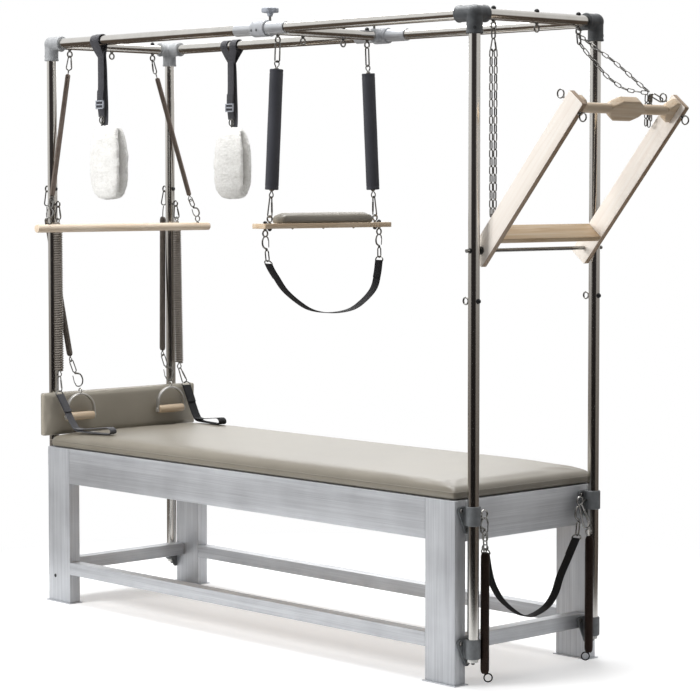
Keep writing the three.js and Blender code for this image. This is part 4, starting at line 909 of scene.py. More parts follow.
def canopy():
    """Posts, rails and crossbars of polished tube, with their plugs, eye bolts and nuts."""
    foot, length, edge = 91, 2062.6, 0.6
    tube_profile = [(0, tube_r - edge), (edge, tube_r), (length - edge, tube_r), (length, tube_r - edge)]
    for (end, x), (name, side) in itertools.product(post_x.items(), sides.items()):
        post = at(x, side * post_y, 0)
        tube = turned(post + foot * Z, Z, tube_profile, 48)
        piece(f"{end}_{name}_post_tube", tube, steel_tube, "table", f"{end}_{name}_post")
        plug = turned(post + 78 * Z, Z, [(0, 15), (1.5, 17.6), (10.5, 18.2), (13, 17.6)], 32)
        piece(f"{end}_{name}_post_plug", plug, white_plug, "table")
        black_trim(f"{end}_{name}_plug_bolt",
                   [turned(post + 70.5 * Z, Z, [(0, 3.6), (1, 5.8), (6, 6), (8, 5.4)], 6)])
        places = ((1555, 1), (1615, -1)) if end == "head" else ((1255, -1),)
        eyes, nuts = zip(*(post_eye(post, height, facing) for height, facing in places))
        hardware(f"{end}_{name}_post_eyes", eyes)
        black_trim(f"{end}_{name}_post_nuts", nuts)
    for name, side in sides.items():
        y = side * post_y
        tube = rod(at(post_x["head"] + 27, y, rail_z), at(post_x["foot"] - 27, y, rail_z), tube_r, edge, 48)
        piece(f"{name}_rail_tube", tube, steel_tube, "table", f"{name}_rail")
    for end, x in post_x.items():
        crossbar = f"{end}_crossbar"
        cross_tube(f"{crossbar}_tube", crossbar, x, 268, (-207, 0, 207), "table", crossbar)


def socket(centre, direction, length, radius, lip=1.8):
    """A fitting's socket with a thicker lip at its mouth."""
    profile = [(0, radius), (length - 7, radius), (length - 5, radius + lip), (length - 1, radius + lip),
               (length, radius + lip - 1.2)]
    return turned(centre, direction, profile, 40)


def corner_fittings():
    """Cast elbows with three sockets, and their set screws."""
    for (end, way), (name, side) in itertools.product(ends.items(), sides.items()):
        c = at(post_x[end], side * post_y, rail_z)
        shape = (socket(c, -Z, 66, 26.6) + socket(c, -way * X, 72, 26.6) + socket(c, -side * Y, 52, 26.6)
                 + ball(c, 28, 48))
        # Paler casting at the head end, darker at the foot end: painted light and painted shade on the same
        # casting.
        look = head_elbow_casting_painted_light if end == "head" else foot_elbow_casting_painted_shade
        piece(f"{end}_{name}_elbow", fused(shape, 1.9), look, "table",
              f"{end}_{name}_corner_fitting")
        out = unit(at(way, side, 0))
        screws = [grub_screw(c + out * 26.2 - 47 * Z, out), grub_screw(c + at(-way * 60, 0, 26.6), Z),
                  grub_screw(c + at(0, -side * 44, 27), Z)]
        black_trim(f"{end}_{name}_elbow_screws", screws)


flange_screws = np.array([[-31, 18], [0, -47], [31, 18]], float)


def flange_outline():
    """A triangle of three screw places with a round corner about each."""
    found = []
    for k, here in enumerate(flange_screws):
        before, after = flange_screws[k - 1], flange_screws[(k + 1) % 3]
        start = math.atan2(*(here - before)[::-1]) - math.pi / 2
        end = math.atan2(*(after - here)[::-1]) - math.pi / 2
        found.append(here + 14 * facing_at(np.linspace(start, end + (2 * math.pi if end < start else 0), 9)))
    return np.vstack(found)


def clamp_eye(side):
    """The middle of the eye on an upper clamp's inner side, at the foot end."""
    return at(post_x["foot"] - 7, side * 236, clamp_z["upper"])


def brackets():
    """Cast clamps round the posts, each on a three-screw flange."""
    depth = 7
    for (end, way), (name, side), (level, z) in itertools.product(
            ends.items(), sides.items(), clamp_z.items()):
        x, y = post_x[end], side * post_y
        face = way * (bed_x + 0.3)
        flange = plate(flange_outline(), depth, 1.6, at(min(face, face + way * depth), y, z), Y, Z)
        web = block(((x + face) / 2, y, z), (abs(x - face), 33, 50), 2)
        collar = turned(at(x, y, z - 32), Z, [(0, 23.6), (1.4, 25), (62.6, 25), (64, 23.6)], 40)
        stem = f"{end}_{name}_{level}"
        piece(f"{stem}_clamp", fused(flange + web + collar, 2.0, 5), clamp_casting, "table",
              f"{stem}_bracket")
        outer = face + way * (depth - 0.1)
        hardware(f"{stem}_clamp_screws",
                 [pan_screw(at(outer, y + dy, z + dz), way * X, 6.2) for dy, dz in flange_screws])
        if end == "foot" and level == "upper":
            eye = clamp_eye(side)
            arm = rod(eye + side * 14 * Y, eye + side * 36 * Y, 3.8, 0.4, 12)
            hardware(f"{name}_clamp_eye", [hoop(eye, X, 14, 3.1), arm])


# Slide bar and trapeze

def slide_bar():
    """The cross tube between two tees, each tee on a long sleeve that runs on its rail."""
    cross_tube("slide_cross_tube", "slide", slide_x, 249, (-218.5, -98.5, 98.5, 218.5), "slide", "slide_bar")
    sleeve_profile = [(0, 20), (0, 22), (1.2, 23), (264.8, 23), (266, 22), (266, 20)]
    for name, side in sides.items():
        c = at(slide_x, side * post_y, rail_z)
        piece(f"{name}_slide_sleeve", turned(c - 133 * X, X, sleeve_profile, 48), aluminium_x, "slide")
        tee = (turned(c - 36 * X, X, [(0, 27), (1.5, 29.4), (70.5, 29.4), (72, 27)], 44)
               + socket(c, -side * Y, 50, 25, 1.4) + ball(c, 29, 32))
        piece(f"{name}_slide_tee", fused(tee, 2.2), mid_casting, "slide")
        side_face = 29.2 * math.cos(0.2)
        screws = [grub_screw(c + at(dx, side * side_face, -6), side * Y, 4.4) for dx in (-23, 4)]
        black_trim(f"{name}_tee_screws", screws, "slide")
        star_knob(name, at(slide_x, side * 255, 2225))


def star_knob(name, k):
    """A clamp screw's knob of six lobes on a hub: r(t) = 31 (1 - 0.12 (1 - cos 6t) / 2)."""
    body = f"{name}_knob"
    hardware(f"{name}_knob_stem", [rod(k - 28 * Z, k + 15 * Z, 4.6, 0.4, 16)], body)
    t = round_steps(72)
    lobes = 31 * (1 - 0.12 * (1 - np.cos(6 * t)) / 2)
    star = plate(lobes[:, None] * facing_at(t), 17, 4.0, k + 13 * Z, X, Y, 4)
    hub = turned(k, Z, [(0, 8), (1, 9), (9, 10.5), (13.5, 15)], 32)
    cap = turned(k + 30 * Z, Z, [(-0.5, 14), (0.2, 13.4), (0.2, 12), (-0.4, 11.4)], 32)
    piece(f"{name}_star_knob", star + hub + cap, knob_plastic, body, f"{name}_slide_knob")


def trapeze():
    """Two springs in padded sleeves carry the seat plank, with its cushion."""
    sleeve_profile = [(3.0, 19.5), (0.4, 20.5), (0, 22.4), (0.8, 23.7), (3, 24.3), (9, 24.2), (12, 23.7),
                      (15, 24.3), (120, 24.1), (214, 24.4), (310, 24.1), (412.7, 24.3), (415.7, 23.7),
                      (418.7, 24.2), (424.7, 24.3), (426.9, 23.7), (427.7, 22.4), (427.3, 20.5),
                      (424.7, 19.5)]
    for name, side in sides.items():
        eye = at(slide_x, side * 218.5, eye_z)
        top, foot = at(slide_x, side * 225, 2040), at(slide_x, side * 249, 1613)
        axis = unit(foot - top)
        high, low = (Y, X) if side > 0 else (unit(at(1, -0.9, 0)), Y)
        bits = [link(eye - 5.6 * Z, at(slide_x, side * 222, 2062.7), high, 22, 2.8),
                end_loop(top + 2 * Z, at(0, -side * 0.1, 1), Y if side > 0 else X, 10.5, 2.2),
                end_loop(foot - 2 * Z, at(0, side * 0.12, -1), low, 10, 2.2),
                carabiner(at(slide_x, side * 253, 1591), at(slide_x, side * inner_eye, 1512.5),
                          Y if side > 0 else X, 25, 2.6)]
        sleeve = turned(top, axis, sleeve_profile, 48)
        made = piece(f"{name}_trapeze_sleeve", sleeve, sleeve_vinyl, "trapeze",
                     f"{name}_trapeze_spring")
        core = rod(top - 4 * axis, foot + 4 * axis, 8, 1, 20)
        piece(f"{name}_trapeze_spring_core", core, arm_steel, "trapeze")
        hardware(f"{name}_trapeze_clips", bits, "trapeze")
    plank = plate(slab(74, 622, 5, 4), plank_top - plank_base, 1.6, at(slide_x, 0, plank_base), X, Y)
    piece("trapeze_seat_plank", plank, turned_maple, "trapeze", "trapeze_plank")
    eyes, nuts = [], []
    for side in sides.values():
        for y, eye_face, nut_face, way in ((inner_eye, plank_top, plank_base, Z),
                                           (outer_eye, plank_base, plank_top, -Z)):
            eyes.append(eye_bolt(at(slide_x, side * y, eye_face), way, X, plank_top - plank_base))
            nuts.append(acorn_nut(at(slide_x, side * y, nut_face), -way))
    hardware("plank_eyes", eyes, "trapeze")
    black_trim("plank_nuts", nuts, "trapeze")
    screws = [pan_screw(at(slide_x, y, plank_base), -Z, 3.6) for y in (-150, 0, 150)]
    hardware("plank_screws", screws, "trapeze")
    seat_pad(plank_top + 0.3)


def seat_pad(base):
    """The seat's cushion: a pad whose height h falls off to h (0.36 + 0.64 sqrt(1 - t^2.1)) over each end."""
    form = pad(31.5, 226, 47, 13, 3.5, 16).put(np.eye(3), at(slide_x, 0, base))
    t = np.clip((np.abs(form.points[:, 1]) - 118) / 108, 0, 1)
    form.points[:, 2] = base + (form.points[:, 2] - base) * (0.36 + 0.64 * np.sqrt(1 - 0.998 * t ** 2.1))
    mesh = inflated(form, 4, 2.2, 1.6, lambda p: p[:, 2] < base + 3.2)
    made = piece("trapeze_seat_pad", mesh, taupe_vinyl, "trapeze", "trapeze_cushion", 1)


def ribbon(path, width, facing, thick=2.6):
    """A flat strap: a thin slab with soft edges carried along a smooth line, its width along facing."""
    return sweep(path, slab(thick, width, thick * 0.42, 3), facing)


def d_ring(middle, up, wide, facing, wire=2.4):
    """A ring with one straight side, under which the strap's end is folded."""
    up = unit(up)
    across = unit(wide)
    t = np.linspace(0, np.pi, 13)[:, None]
    bow = middle + 19 * np.cos(t) * across + 13 * np.sin(t) * up
    return sweep(np.vstack([bow, middle - 19 * across - 2.5 * up, middle + 19 * across - 2.5 * up]),
                 circle(wire, 8), facing, looped=True)


def hung_strap(name, x, spots, width, body, node, eyes):
    """A strap between two rings, folded over each and sewn down, on two bolt snaps."""
    path = smooth([at(x, y, z) for y, z in spots], 90)
    strap = ribbon(path, width, X)
    for cut in (path[:9], path[::-1][:9]):
        inner = cut + 2.4 * unit(np.cross(np.gradient(cut, axis=0), X))
        strap = strap + ribbon(inner, width * 0.99, X, 2.2)
    piece(f"{name}_webbing", strap, black_webbing, body, node)
    bits = []
    for cut, eye in ((path[:4], eyes[0]), (path[::-1][:4], eyes[1])):
        end, up = cut[0], unit(cut[0] - cut[3])
        bits.append(d_ring(end + 1.5 * up, up, X, np.cross(up, X)))
        bits.append(swivel_snap(eye - 4 * Z, end + 7.5 * up, X))
    hardware(f"{name}_clips", bits, body)


def trapeze_strap():
    """The strap below the seat plank, hung from its outer eyes."""
    spots = [(-264, 1350), (-250, 1328), (-230, 1303), (-189, 1255), (-125, 1210), (-57, 1178), (35, 1165),
             (132, 1173), (197, 1202), (252, 1247), (272, 1300), (281, 1352)]
    eyes = [at(slide_x, side * outer_eye, plank_base - eye_drop - 4) for side in sides.values()]
    hung_strap("trapeze_strap", slide_x, spots, 38, "trapeze_strap", "trapeze_foot_strap", eyes)


# Roll-down bar

def roll_down():
    """A turned bar with two grooves, on two close-wound springs."""
    body, x, z, half, eye_y = "roll_down", -1062, 1462, 431, 373
    profile = [(0, 13), (0.8, 15), (2.6, 16)]
    for y in (half - eye_y, half + eye_y):
        profile += [(y - 3, 16), (y - 2, 15), (y + 2, 15), (y + 3, 16)]
    profile += [(2 * half - 2.6, 16), (2 * half - 0.8, 15), (2 * half, 13)]
    bar = turned(at(x, -half, z), Y, profile, 40)
    piece("roll_down_wood", bar, bar_maple, body, "roll_down_bar")
    hardware("roll_down_eyes",
             [eye_bolt(at(x, y, z + 13.5), Z, X, 0, 17.5, 11, 2.4) for y in (-eye_y, eye_y)], body)
    for name, side in sides.items():
        top, foot = at(-1134, side * 223, 2064), at(-1079, side * 344, 1588)
        axis = unit(foot - top)
        coil = spring(top, foot, 10.3, 1.25, 196, 3, 0.5, 12, 5)
        piece(f"{name}_roll_down_coil", coil, brown_spring, body, f"{name}_roll_down_spring")
        core = rod(top + 4 * axis, foot - 4 * axis, 7.6, 2, 16)
        piece(f"{name}_roll_down_core", core, brown_spring, body)
        eye = at(post_x["head"], side * 207, eye_z)
        bits = [carabiner(eye - 4.5 * Z, at(-1137, side * 217, 2079), slant if side < 0 else Y, 26, 2.5),
                end_loop(top - axis, -axis, np.cross(axis, slant), 7, 1.8),
                end_loop(foot + axis, axis, slant, 8.5, 1.8),
                swivel_snap(at(x, side * eye_y, 1501), foot + 14 * axis, slant)]
        hardware(f"{name}_roll_down_clips", bits, body)


# Leg springs, foot loops, arm springs and handles

def leg_spring(name, side):
    """A ribbed spring from the post's inner eye down to the foot loop's hook."""
    body = f"{name}_leg_spring_body"
    top, foot = at(-1104, side * 298, 1480), at(-1097, side * 302, 903)
    coil = spring(top, foot, 17.5, 3.6, 62, 0.8, 0.72, 18, 8)
    piece(f"{name}_leg_coil", coil, grey_spring, body, f"{name}_leg_spring")
    core = turned(top, foot - top, [(2, 9), (5, 12.5), (572, 12.5), (575, 9)], 28)
    piece(f"{name}_leg_coil_core", core, arm_steel, body)
    bits = [carabiner(at(-1107, side * post_y, 1550), at(-1104, side * 298, 1492), slant, 26, 2.6),
            end_loop(top - 2 * Z, Z, Y, 8, 2.2), end_loop(foot + 2 * Z, -Z, X, 9.5, 2.2)]
    hardware(f"{name}_leg_clips", bits, body)


def foot_loop(name, side):
    """A strap that falls from its hook to the mat and ends in a loop lying on it."""
    body, width = f"{name}_foot_loop_body", 36
    turn = math.radians(9)
    forward = at(math.cos(turn), -side * math.sin(turn), 0)
    wide = np.cross(Z, forward)
    start = at(-1074, side * 319, 0)
    low, high = 672.4, 697

    def line(spots, count, looped=False):
        """A smooth line through spots given by their distance forward and their height."""
        return smooth([start + a * forward + z * Z for a, z in spots], count, looped)

    fall = line([(0, 811), (24, 775), (48, 739), (70, 707), (88, 686), (103, 676)], 40)
    doubled = line([(3, 812), (12, 799), (28, 775), (46, 747)], 20) + 2.5 * forward
    loop = line([(90, 684), (106, 676), (124, 673), (160, low), (205, low), (250, low), (274, low + 1),
                 (287, 679), (286, 690), (272, high), (250, high - 1), (205, high - 6), (160, high - 11),
                 (118, high - 15)], 96, True)
    strap = (ribbon(fall, width, wide) + ribbon(doubled, width - 0.4, wide, 2.4)
             + sweep(loop, slab(2.6, width, 1.1, 3), wide, looped=True))
    # The far loop is darker than the near one, in black webbing: painted shade on the far side.
    look = dark_webbing if side < 0 else black_webbing
    piece(f"{name}_foot_loop_webbing", strap, look, body, f"{name}_foot_loop")
    row = block((0, 0, 0), (2, 30, 1.2), 0.5)
    rows = [row.put(np.column_stack([forward, wide, Z]), start + a * forward + z * Z)
            for a, z in ((48, 743), (43, 750), (104, 680.4), (110, 679.2))]
    piece(f"{name}_foot_loop_stitches", joined(rows), black_webbing, body)
    ring_up = unit(at(-0.35, 0, 1))
    bits = [d_ring(start + 813 * Z, ring_up, wide, np.cross(ring_up, wide)),
            carabiner(at(-1097, side * 302, 883), at(-1077, side * 317, 820), slant, 24, 2.5)]
    hardware(f"{name}_foot_loop_clips", bits, body)


def arm_spring(name, side):
    """A slim spring behind the post, down to its handle in front of the headboard."""
    body = f"{name}_arm_spring_body"
    top, foot = at(-1187, side * 291, 1500), at(-1120, side * 233, 956)
    axis = unit(foot - top)
    coil = spring(top, foot, 12.3, 1.35, 202, 5, 0.4, 12, 5)
    piece(f"{name}_arm_coil", coil, arm_steel, body, f"{name}_arm_spring")
    core = rod(top + 8 * axis, foot - 8 * axis, 9.2, 3, 16)
    piece(f"{name}_arm_coil_core", core, arm_steel, body)
    neck = smooth([top - 2 * axis, at(-1186, side * 291.5, 1526), at(-1184, side * 293, 1545)], 12)
    bits = [carabiner(at(-1179, side * post_y, 1610), at(-1184, side * 293, 1546), slant, 24, 2.5),
            sweep(neck, circle(2.1, 8), Y), end_loop(foot + axis, axis, Y, 8, 2.0),
            swivel_snap(at(handle_x, side * handle_y, 837), foot + 15 * axis, unit(at(0.5, -0.8, 0)))]
    hardware(f"{name}_arm_clips", bits, body)


def hand_grip(name, side):
    """A flat bar bent into an arch, with a turned grip bolted between its ends and a ring on top."""
    y, grip_z, body = side * handle_y, 723, f"{name}_hand_grip_body"
    t = np.linspace(0, np.pi, 25)
    arch = np.column_stack([np.full_like(t, handle_x), y + 66 * np.cos(t), 745 + 64 * np.sin(t)])
    legs = [[at(handle_x, y + way * 66.5, z) for z in heights]
            for way, heights in ((1, (712, 722, 734)), (-1, (734, 722, 712)))]
    metal = [sweep(smooth(np.vstack([legs[0], arch, legs[1]]), 70), slab(7.0, 16, 2.2, 3), X)]
    bolt = [(0, 8), (1.4, 8), (2, 7), (5, 6.4), (6, 5), (4, 3.2)]
    metal += [turned(at(handle_x, y + way * 68, grip_z), way * Y, bolt, 20) for way in (-1, 1)]
    metal += [hoop(at(handle_x, y, 822), Y, 9, 2.6),
              turned(at(handle_x, y, 807), Z, [(0, 5), (4, 5), (6, 4)], 16)]
    piece(f"{name}_handle_arch", joined(metal), arch_steel, body, f"{name}_hand_grip")
    profile = [(0, 13), (1.5, 15), (4, 15.8), (63, 16.4), (122, 15.8), (124.5, 15), (126, 13)]
    grip = turned(at(handle_x, y - 63, grip_z), Y, profile, 36)
    piece(f"{name}_handle_wood", grip, turned_maple, body)


# Push-through bar

def on_push(s, y, t):
    """A point s along the boards from the pivot, at y, and t across them."""
    return push_pivot + s * push_along + y * Y + t * push_across


def push_bar():
    """Two side boards, a shelf and a shaped handle, turning on a rod through the foot posts."""
    body, board_y, board_thick, shelf_half, rod_half = "push_bar", 251, 22, 239.3, 331
    outline = slab(672, 72, 5, 5) + np.array([294, 0])
    for name, side in sides.items():
        y = side * board_y
        base = on_push(0, y + board_thick / 2, 0)
        board = plate(outline, board_thick, 1.2, base, push_along, push_across, 3)
        piece(f"{name}_side_board", board, board_maple, body, f"{name}_push_board")
        hardware(f"{name}_board_eyes",
                 [eye_bolt(on_push(593, y, 36), push_across, Y, 4, 28, 13.5, 2.5),
                  eye_bolt(on_push(594, y, -36), -push_across, Y, 4, 19, 13.5, 2.5)], body)
    shelf = plate(slab(18, 72, 2.5, 3), 2 * shelf_half, 1.0, on_push(69, shelf_half, 0), push_along,
                  push_across)
    piece("shelf_board", shelf, shelf_maple, body, "push_shelf")
    piece("push_handle_wood", handle_shape(), turned_maple, body, "push_handle")
    shaft = rod(push_pivot - rod_half * Y, push_pivot + rod_half * Y, 6.4, 0.6, 24)
    piece("pivot_shaft", shaft, bright_zinc, "table", "push_pivot_rod")
    collar, trim = [(0, 12), (1, 13.4), (12.6, 13.4), (13.4, 12)], []
    for side in sides.values():
        trim += [turned(push_pivot + side * 262.6 * Y, side * Y, collar, 28),
                 acorn_nut(push_pivot + side * (post_y + tube_r + 0.4) * Y, side * Y)]
    black_trim("pivot_trim", trim)
    hook_at, tail = on_push(582, board_y, 64), at(1449, 226, 1925)
    hook = link(hook_at + 6 * unit(hook_at - tail), tail, unit(at(0.2, -1, 0.3)), 18, 2.4)
    hardware("far_chain_hook", [hook, ball(tail, 4.4, 12)], body)


def handle_shape():
    """A round bar with a chamfered block in its middle and one against each board."""
    half, grip = 39.0, 16.5
    y = np.linspace(-1, 1, 241) * 239.5
    inner = np.clip((np.abs(y) - 41) / (80 - 41), 0, 1)
    outer = np.clip((239.7 - 17 - np.abs(y)) / (40 - 17), 0, 1)
    tall = half + (grip - half) * np.where(np.abs(y) < 120, inner, outer)
    flatness = np.clip((tall - grip) / (half - grip) * 3, 0, 1)
    a, power = round_steps(48), (2 / (2 + 7 * flatness))[:, None]
    along = squared(np.cos(a), power) * tall[:, None]
    across = squared(np.sin(a), power) * grip
    return skin(on_push(590, 0, 0) + y[:, None, None] * Y + along[..., None] * push_along
                - across[..., None] * push_across)


def chains():
    """Welded chain: a doubled strand at the near side; two sagging strands and a bundle at the far side."""
    wide, turn, low, pitch = unit(at(0.69, 0.73, 0)), math.radians(-12), 1528, 29.6
    eye, bottom = at(post_x["foot"], -207, eye_z), at(post_x["foot"], -207, low)
    strands = [link(eye - 4.5 * Z, eye - 44 * Z, Y, 20, 2.6),
               carabiner(eye - 40 * Z, eye - 84 * Z, slant, 22, 2.2)]
    for way in (-7.4, 7.4):
        start = eye - 78 * Z + way * 0.8 * wide
        spots = [start, start - 60 * Z + way * 0.2 * wide, start * [1, 1, 0] + low * Z]
        strands.append(chain(spots, 26.5, 15.5, 2.3, up=at(math.cos(turn), math.sin(turn), 0)))
    strands.append(link(bottom - 11 * wide + 2 * Z, bottom + 11 * wide + 2 * Z, np.cross(wide, Z), 13, 1.75))
    piece("near_chain_links", joined(strands), chain_steel, "near_chain", "near_safety_chain")

    upper = [at(*spot) for spot in (
        (1148, 207, 2124), (1167, 207, 2120), (1200, 208, 2098), (1244, 210, 2071), (1289, 213, 2043),
        (1343, 216, 2005), (1400, 219, 1962), (1440, 222, 1934))]
    lower = [at(*spot) for spot in (
        (1152, 207, 2106), (1167, 207, 2088), (1201, 210, 2053), (1238, 212, 2018), (1262, 214, 1994),
        (1308, 217, 1963), (1341, 220, 1946), (1390, 221, 1936), (1436, 222, 1931))]
    eye = at(post_x["foot"], 207, eye_z)
    links = [link(eye - 4.5 * Z, at(1150, 208, 2098), Y, 20, 2.6), chain(upper, pitch, up=Y),
             chain(lower, pitch, up=Y, first_flat=False)]
    for dx, y, foot_x, foot_z in ((-9, 219, 1430, 1822), (2, 223, 1440, 1818), (9, 220, 1450, 1838)):
        spots = [at(1442 + dx, y, 1926), at(1440 + dx, y, 1880), at(foot_x, y, foot_z)]
        links.append(chain(spots, pitch, up=Y, first_flat=dx < 0))
    piece("far_chain_links", joined(links), chain_steel, "far_chain", "far_safety_chain")


# Slings, foot springs and foot strap

def fleece_band(pad_x, y, seed):
    """A thick fleece band in a tall narrow loop whose slit opens along X, its skin raised into curls.

    It is 174 wide at h = 0.44 of its height, and loses 0.47 of that times a power of the way to either end.
    """
    top, foot, thick = 1868.0, 1570.0, 37.0
    half_gap = 3.0 + thick / 2
    high, low = top - thick / 2 - 10, foot + thick / 2 + 5
    t, a = round_steps(240), round_steps(104)
    across = squared(np.cos(t), 0.5) * half_gap * (1 - 0.06 * np.clip(np.sin(t), 0, 1) ** 2)
    height = (high + low) / 2 + squared(np.sin(t), 0.9) * (high - low) / 2
    path = np.column_stack([np.full_like(t, pad_x), y + across, height])
    h = (height - foot) / (top - foot)
    above = h > 0.44
    fall = np.abs((h - 0.44) / np.where(above, 0.56, 0.44)) ** np.where(above, 2.6, 3.6)
    width = 174 * (1 - 0.47 * fall)
    section = np.stack([np.broadcast_to(squared(np.cos(a), 0.9) * thick / 2, (len(t), len(a))),
                        squared(np.sin(a), 0.72) * width[:, None] / 2], -1)
    shell = sweep(path, section, X, looped=True)
    heading = unit(np.roll(path, -1, 0) - np.roll(path, 1, 0))
    side = unit(np.cross(X, heading))
    outward = unit(section[..., :1] * side[:, None] + section[..., 1:] * np.cross(heading, side)[:, None])
    p = shell.points
    curl = (np.abs(lattice_noise(p / 7.5, seed)) * 3.2 + lattice_noise(p / 3.6, seed + 7) * 1.1
            + lattice_noise(p / 30, seed + 3) * 3.0)
    shell.points = p + outward.reshape(-1, 3) * (curl[:, None] - 2.0)
    return shell


def sling(name, side, wraps, strap_x, pad_x, seed):
    """A strap looped over the rail at two places, a slide buckle, a ring with its snap, and the fleece."""
    y, body = side * post_y, f"{name}_sling_body"

    def run(spots, count, width, thick):
        """A strap through spots given from its own place along X and Y."""
        return ribbon(smooth([at(strap_x + dx, y + dy, z) for dx, dy, z in spots], count), width, X, thick)

    arc = facing_at(np.radians(np.linspace(206, -26, 17)))
    strap = []
    for layer, wrap_x in enumerate(wraps):
        over = at(wrap_x, y, rail_z) + (21.7 + 1.7 * layer) * (arc[:, :1] * Y + arc[:, 1:] * Z)
        knot, gap = strap_x + (wrap_x - strap_x) * 0.12, 3.5 + 1.5 * layer
        halfway = (knot + wrap_x) / 2
        route = np.vstack([at(knot, y - gap, 2118), at(halfway, y - 12, 2143), over,
                           at(halfway, y + 12, 2143), at(knot, y + gap, 2118)])
        strap.append(ribbon(smooth(route, 110), 37.5, X, 2.2))
    strap += [run([(-1, -4, 2138), (0, -6, 2110), (0, -6, 2020), (-3, -6, 1954), (-3, -5, 1921),
                   (-2, -2, 1890)], 60, 37, 2.6),
              run([(1, 3, 2140), (4, 6, 2080), (5, 8, 2000), (7, 9, 1930), (9, 7, 1880), (10, 4, 1858)],
                  60, 35, 2.6),
              run([(-2, -8.8, 1990), (-3, -9, 1960), (-3, -9, 1924)], 20, 37, 2.2)]
    piece(f"{name}_sling_strap", joined(strap), dark_webbing, body, f"{name}_sling")
    buckle_at = at(strap_x - 3, y - 10, 1936)
    buckle = [block(buckle_at + dz * Z, (48, 7, 5), 1.6) for dz in (-14, 0, 14)]
    buckle += [block(buckle_at + dx * X, (5, 7, 33), 1.6) for dx in (-21.5, 21.5)]
    piece(f"{name}_sling_buckle", joined(buckle), knob_plastic, body)
    hardware(f"{name}_sling_ring",
             [hoop(at(strap_x - 2, y - 2, 1878), Y, 13, 2.6),
              carabiner(at(strap_x, y, 1890), at(strap_x + 6, y, 1848), X, 20, 2.3)], body)
    made = piece(f"{name}_sling_fleece", fleece_band(pad_x, y, seed), fleece, body)


def foot_spring(name, side):
    """A dark spring hanging from the upper clamp's eye, with a wire loop below it."""
    body, wire = f"{name}_foot_spring_body", 2.4
    top, foot = at(1163, side * 257, 437), at(1163, side * 257, 38)
    coil = spring(top, foot, 15, 1.7, 117, 5, 0.4, 14, 5)
    piece(f"{name}_foot_coil", coil, foot_steel, body, f"{name}_foot_spring")
    core = rod(top - 8 * Z, foot + 8 * Z, 11.4, 4, 20)
    piece(f"{name}_foot_coil_core", core, foot_steel, body)
    lean = -side * unit(at(0.69, 0.73, 0))
    neck = smooth([foot + 5 * Z, foot + 0.5 * lean - Z, foot + 2.5 * lean - 5 * Z], 9)
    ring = hoop(foot + 11 * lean - 13 * Z, unit(at(0.73, -0.69, 0)), 13.4, wire)
    piece(f"{name}_foot_loop_wire", sweep(neck, circle(wire, 8), X) + ring, black_plastic, body)
    held, facing = clamp_eye(side) - 9 * Z, unit(at(0.75, -0.66, 0))
    if side < 0:
        clip = swivel_snap(held, at(1158, side * 251, 470), facing)
    else:
        clip = carabiner(held, at(1159, side * 253, 462), facing, 28, 3.0)
    loop = end_loop(top - 2 * Z, at(-0.1, -side * 0.1, 1), facing, 9.5, 2.2)
    hardware(f"{name}_foot_spring_clips", [clip, loop], body)


def foot_strap():
    """The strap at the foot end, hung between the upper clamps' eyes."""
    spots = [(-223, 428), (-210, 372), (-192, 324), (-155, 272), (-110, 235), (-62, 206), (-17, 193),
             (34, 200), (83, 221), (118, 258), (140, 305), (178, 362), (223, 430)]
    eyes = [clamp_eye(side) - 7 * Z for side in sides.values()]
    hung_strap("foot_strap", 1134, spots, 34, "foot_end_strap", "foot_strap", eyes)


bed_frame()
mattress()
headboard()
canopy()
corner_fittings()
brackets()
slide_bar()
trapeze()
trapeze_strap()
roll_down()
for side_name, side_sign in sides.items():
    leg_spring(side_name, side_sign)
    foot_loop(side_name, side_sign)
    arm_spring(side_name, side_sign)
    hand_grip(side_name, side_sign)
    foot_spring(side_name, side_sign)
push_bar()
chains()
sling("near", -1, (-847, -829), -818, -779, 11)
sling("far", 1, (-776, -719), -750, -748, 29)
foot_strap()


# Camera, studio and lamps

white = (1, 1, 1, 1)


def placed(made, turn, place):
    """Puts an object into the scene, its axes being the columns of turn and its origin place, in metres."""
    bpy.context.scene.collection.objects.link(made)
    made.matrix_world = Matrix([list(row) + [p] for row, p in zip(turn, place)] + [[0, 0, 0, 1]])


def camera():
    """The photograph's view: fitted place, heading, lens and shift."""
    yaw, pitch = 0.812, 0.0562
    ahead = at(-math.sin(yaw) * math.cos(pitch), math.cos(yaw) * math.cos(pitch), -math.sin(pitch))
    right = at(math.cos(yaw), math.sin(yaw), 0)
    made = bpy.data.objects.new("camera", bpy.data.cameras.new("camera"))
    placed(made, np.column_stack([right, np.cross(right, ahead), -ahead]),
           at(6.3798, -5.7582, 1.6258) + bed_middle)
    made.data.lens, made.data.sensor_width = 120.6, 36
    made.data.shift_x, made.data.shift_y = -0.0161, -0.0456
    made.data.clip_end = 100
    bpy.context.scene.camera = made


def lamp(name, place, target, size, watts, mirrored=True):
    """A square soft box aimed at a point, which polished pieces mirror or not."""
    made = bpy.data.objects.new(name, bpy.data.lights.new(name, "AREA"))
    made.data.shape, made.data.size, made.data.energy = "SQUARE", size, watts
    made.visible_glossy = mirrored
    back = unit(np.asarray(place, float) - target)
    right = unit(np.cross(Z, back))
    placed(made, np.column_stack([right, np.cross(back, right), back]), place)


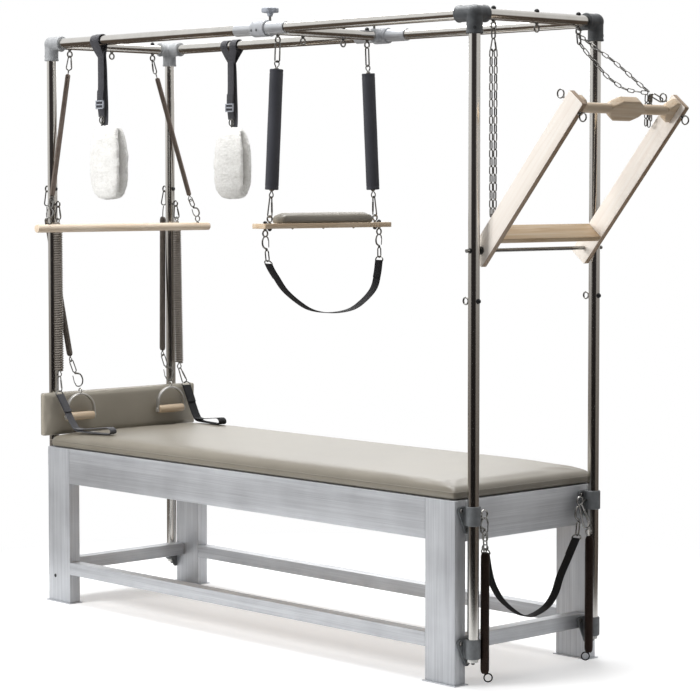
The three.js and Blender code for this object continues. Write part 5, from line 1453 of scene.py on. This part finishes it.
def studio_floor(s):
    """A pale floor that fades, from 1.6 m to 2.5 m out, into the white that the camera sees behind it."""
    where = s.node("ShaderNodeTexCoord", {}, {}, "Object")
    far = s.node("ShaderNodeVectorMath", {"operation": "LENGTH"}, {0: where}, "Value")
    fade = s.node("ShaderNodeMapRange", {"interpolation_type": "SMOOTHSTEP"},
                  {"Value": far, "From Min": 1.6, "From Max": 2.5})
    seen = s.node("ShaderNodeLightPath", {}, {}, "Is Camera Ray")
    plain = s.node("ShaderNodeBsdfDiffuse", {}, {"Color": rgb(236, 236, 236)})
    lift = s.node("ShaderNodeEmission", {}, {"Color": white, "Strength": seen * 0.36})
    lit = s.node("ShaderNodeAddShader", {}, {0: plain, 1: lift})
    glow = s.node("ShaderNodeEmission", {}, {"Color": white, "Strength": 1.0})
    clear = s.node("ShaderNodeBsdfTransparent", {}, {})
    beyond = s.node("ShaderNodeMixShader", {}, {0: seen, 1: clear, 2: glow})
    surface = s.node("ShaderNodeMixShader", {}, {0: fade, 1: lit, 2: beyond})
    s.node("ShaderNodeOutputMaterial", {}, {"Surface": surface})


def surround(s):
    """White to the camera and even grey to diffuse light; metal sees it white, with soft darker parts.

    These come from the direction alone: dark behind the camera and below the level, greyer to its right.
    """
    east, north, height = s.split(s.node("ShaderNodeTexCoord", {}, {}, "Generated"))

    def times(a, b):
        blend = {"data_type": "RGBA", "blend_type": "MULTIPLY"}
        return s.node("ShaderNodeMix", blend, {0: 1.0, 6: a, 7: b}, 2)

    def light_path(kind):
        return s.node("ShaderNodeLightPath", {}, {}, f"Is {kind} Ray")

    room = s.ramp(east * 0.287 - north * 0.41 + 0.5, (0.77, white), (0.86, (0.16, 0.15, 0.15, 1)),
                  (0.93, (0.05, 0.045, 0.045, 1)))
    right = s.ramp(east * 0.42 + north * 0.27 + 0.5, (0.62, white), (0.84, (0.76, 0.75, 0.74, 1)))
    level = s.ramp(height * 0.5 + 0.5, (0.32, (0.10, 0.078, 0.062, 1)), (0.43, (0.12, 0.097, 0.08, 1)),
                   (0.475, (0.36, 0.34, 0.32, 1)), (0.505, (0.80, 0.79, 0.78, 1)),
                   (0.54, (0.93, 0.93, 0.93, 1)))
    seen_by_metal = times(times(room, right), level)
    direct = s.clamp(light_path("Camera") + light_path("Transmission"))
    colour = s.mix(direct, s.mix(light_path("Glossy"), (0.28, 0.28, 0.285, 1), seen_by_metal), white)
    sky = s.node("ShaderNodeBackground", {}, {"Color": colour, "Strength": 1.0})
    s.node("ShaderNodeOutputWorld", {}, {"Surface": sky})


def studio():
    """The floor, the surround and three lamps."""
    bpy.ops.mesh.primitive_circle_add(vertices=96, radius=9, fill_type="NGON", location=(0, 0, 0))
    floor = bpy.context.object
    floor.name = "studio_floor"
    material, world = bpy.data.materials.new("studio_floor"), bpy.data.worlds.new("studio")
    material.use_nodes = world.use_nodes = True
    studio_floor(Shader(material.node_tree))
    floor.data.materials.append(material)
    bpy.context.scene.world = world
    surround(Shader(world.node_tree))
    middle = at(0, 0, 1.0)
    lamp("key", (-2.2, -5.8, 3.2), middle, 3.2, 350, False)
    lamp("top", (-0.6, 0.3, 5.0), middle, 3.4, 230)
    lamp("back", (-4.4, 4.2, 3.4), middle, 2.6, 48)


camera()
studio()

scene = bpy.context.scene
scene.view_settings.view_transform = "Standard"
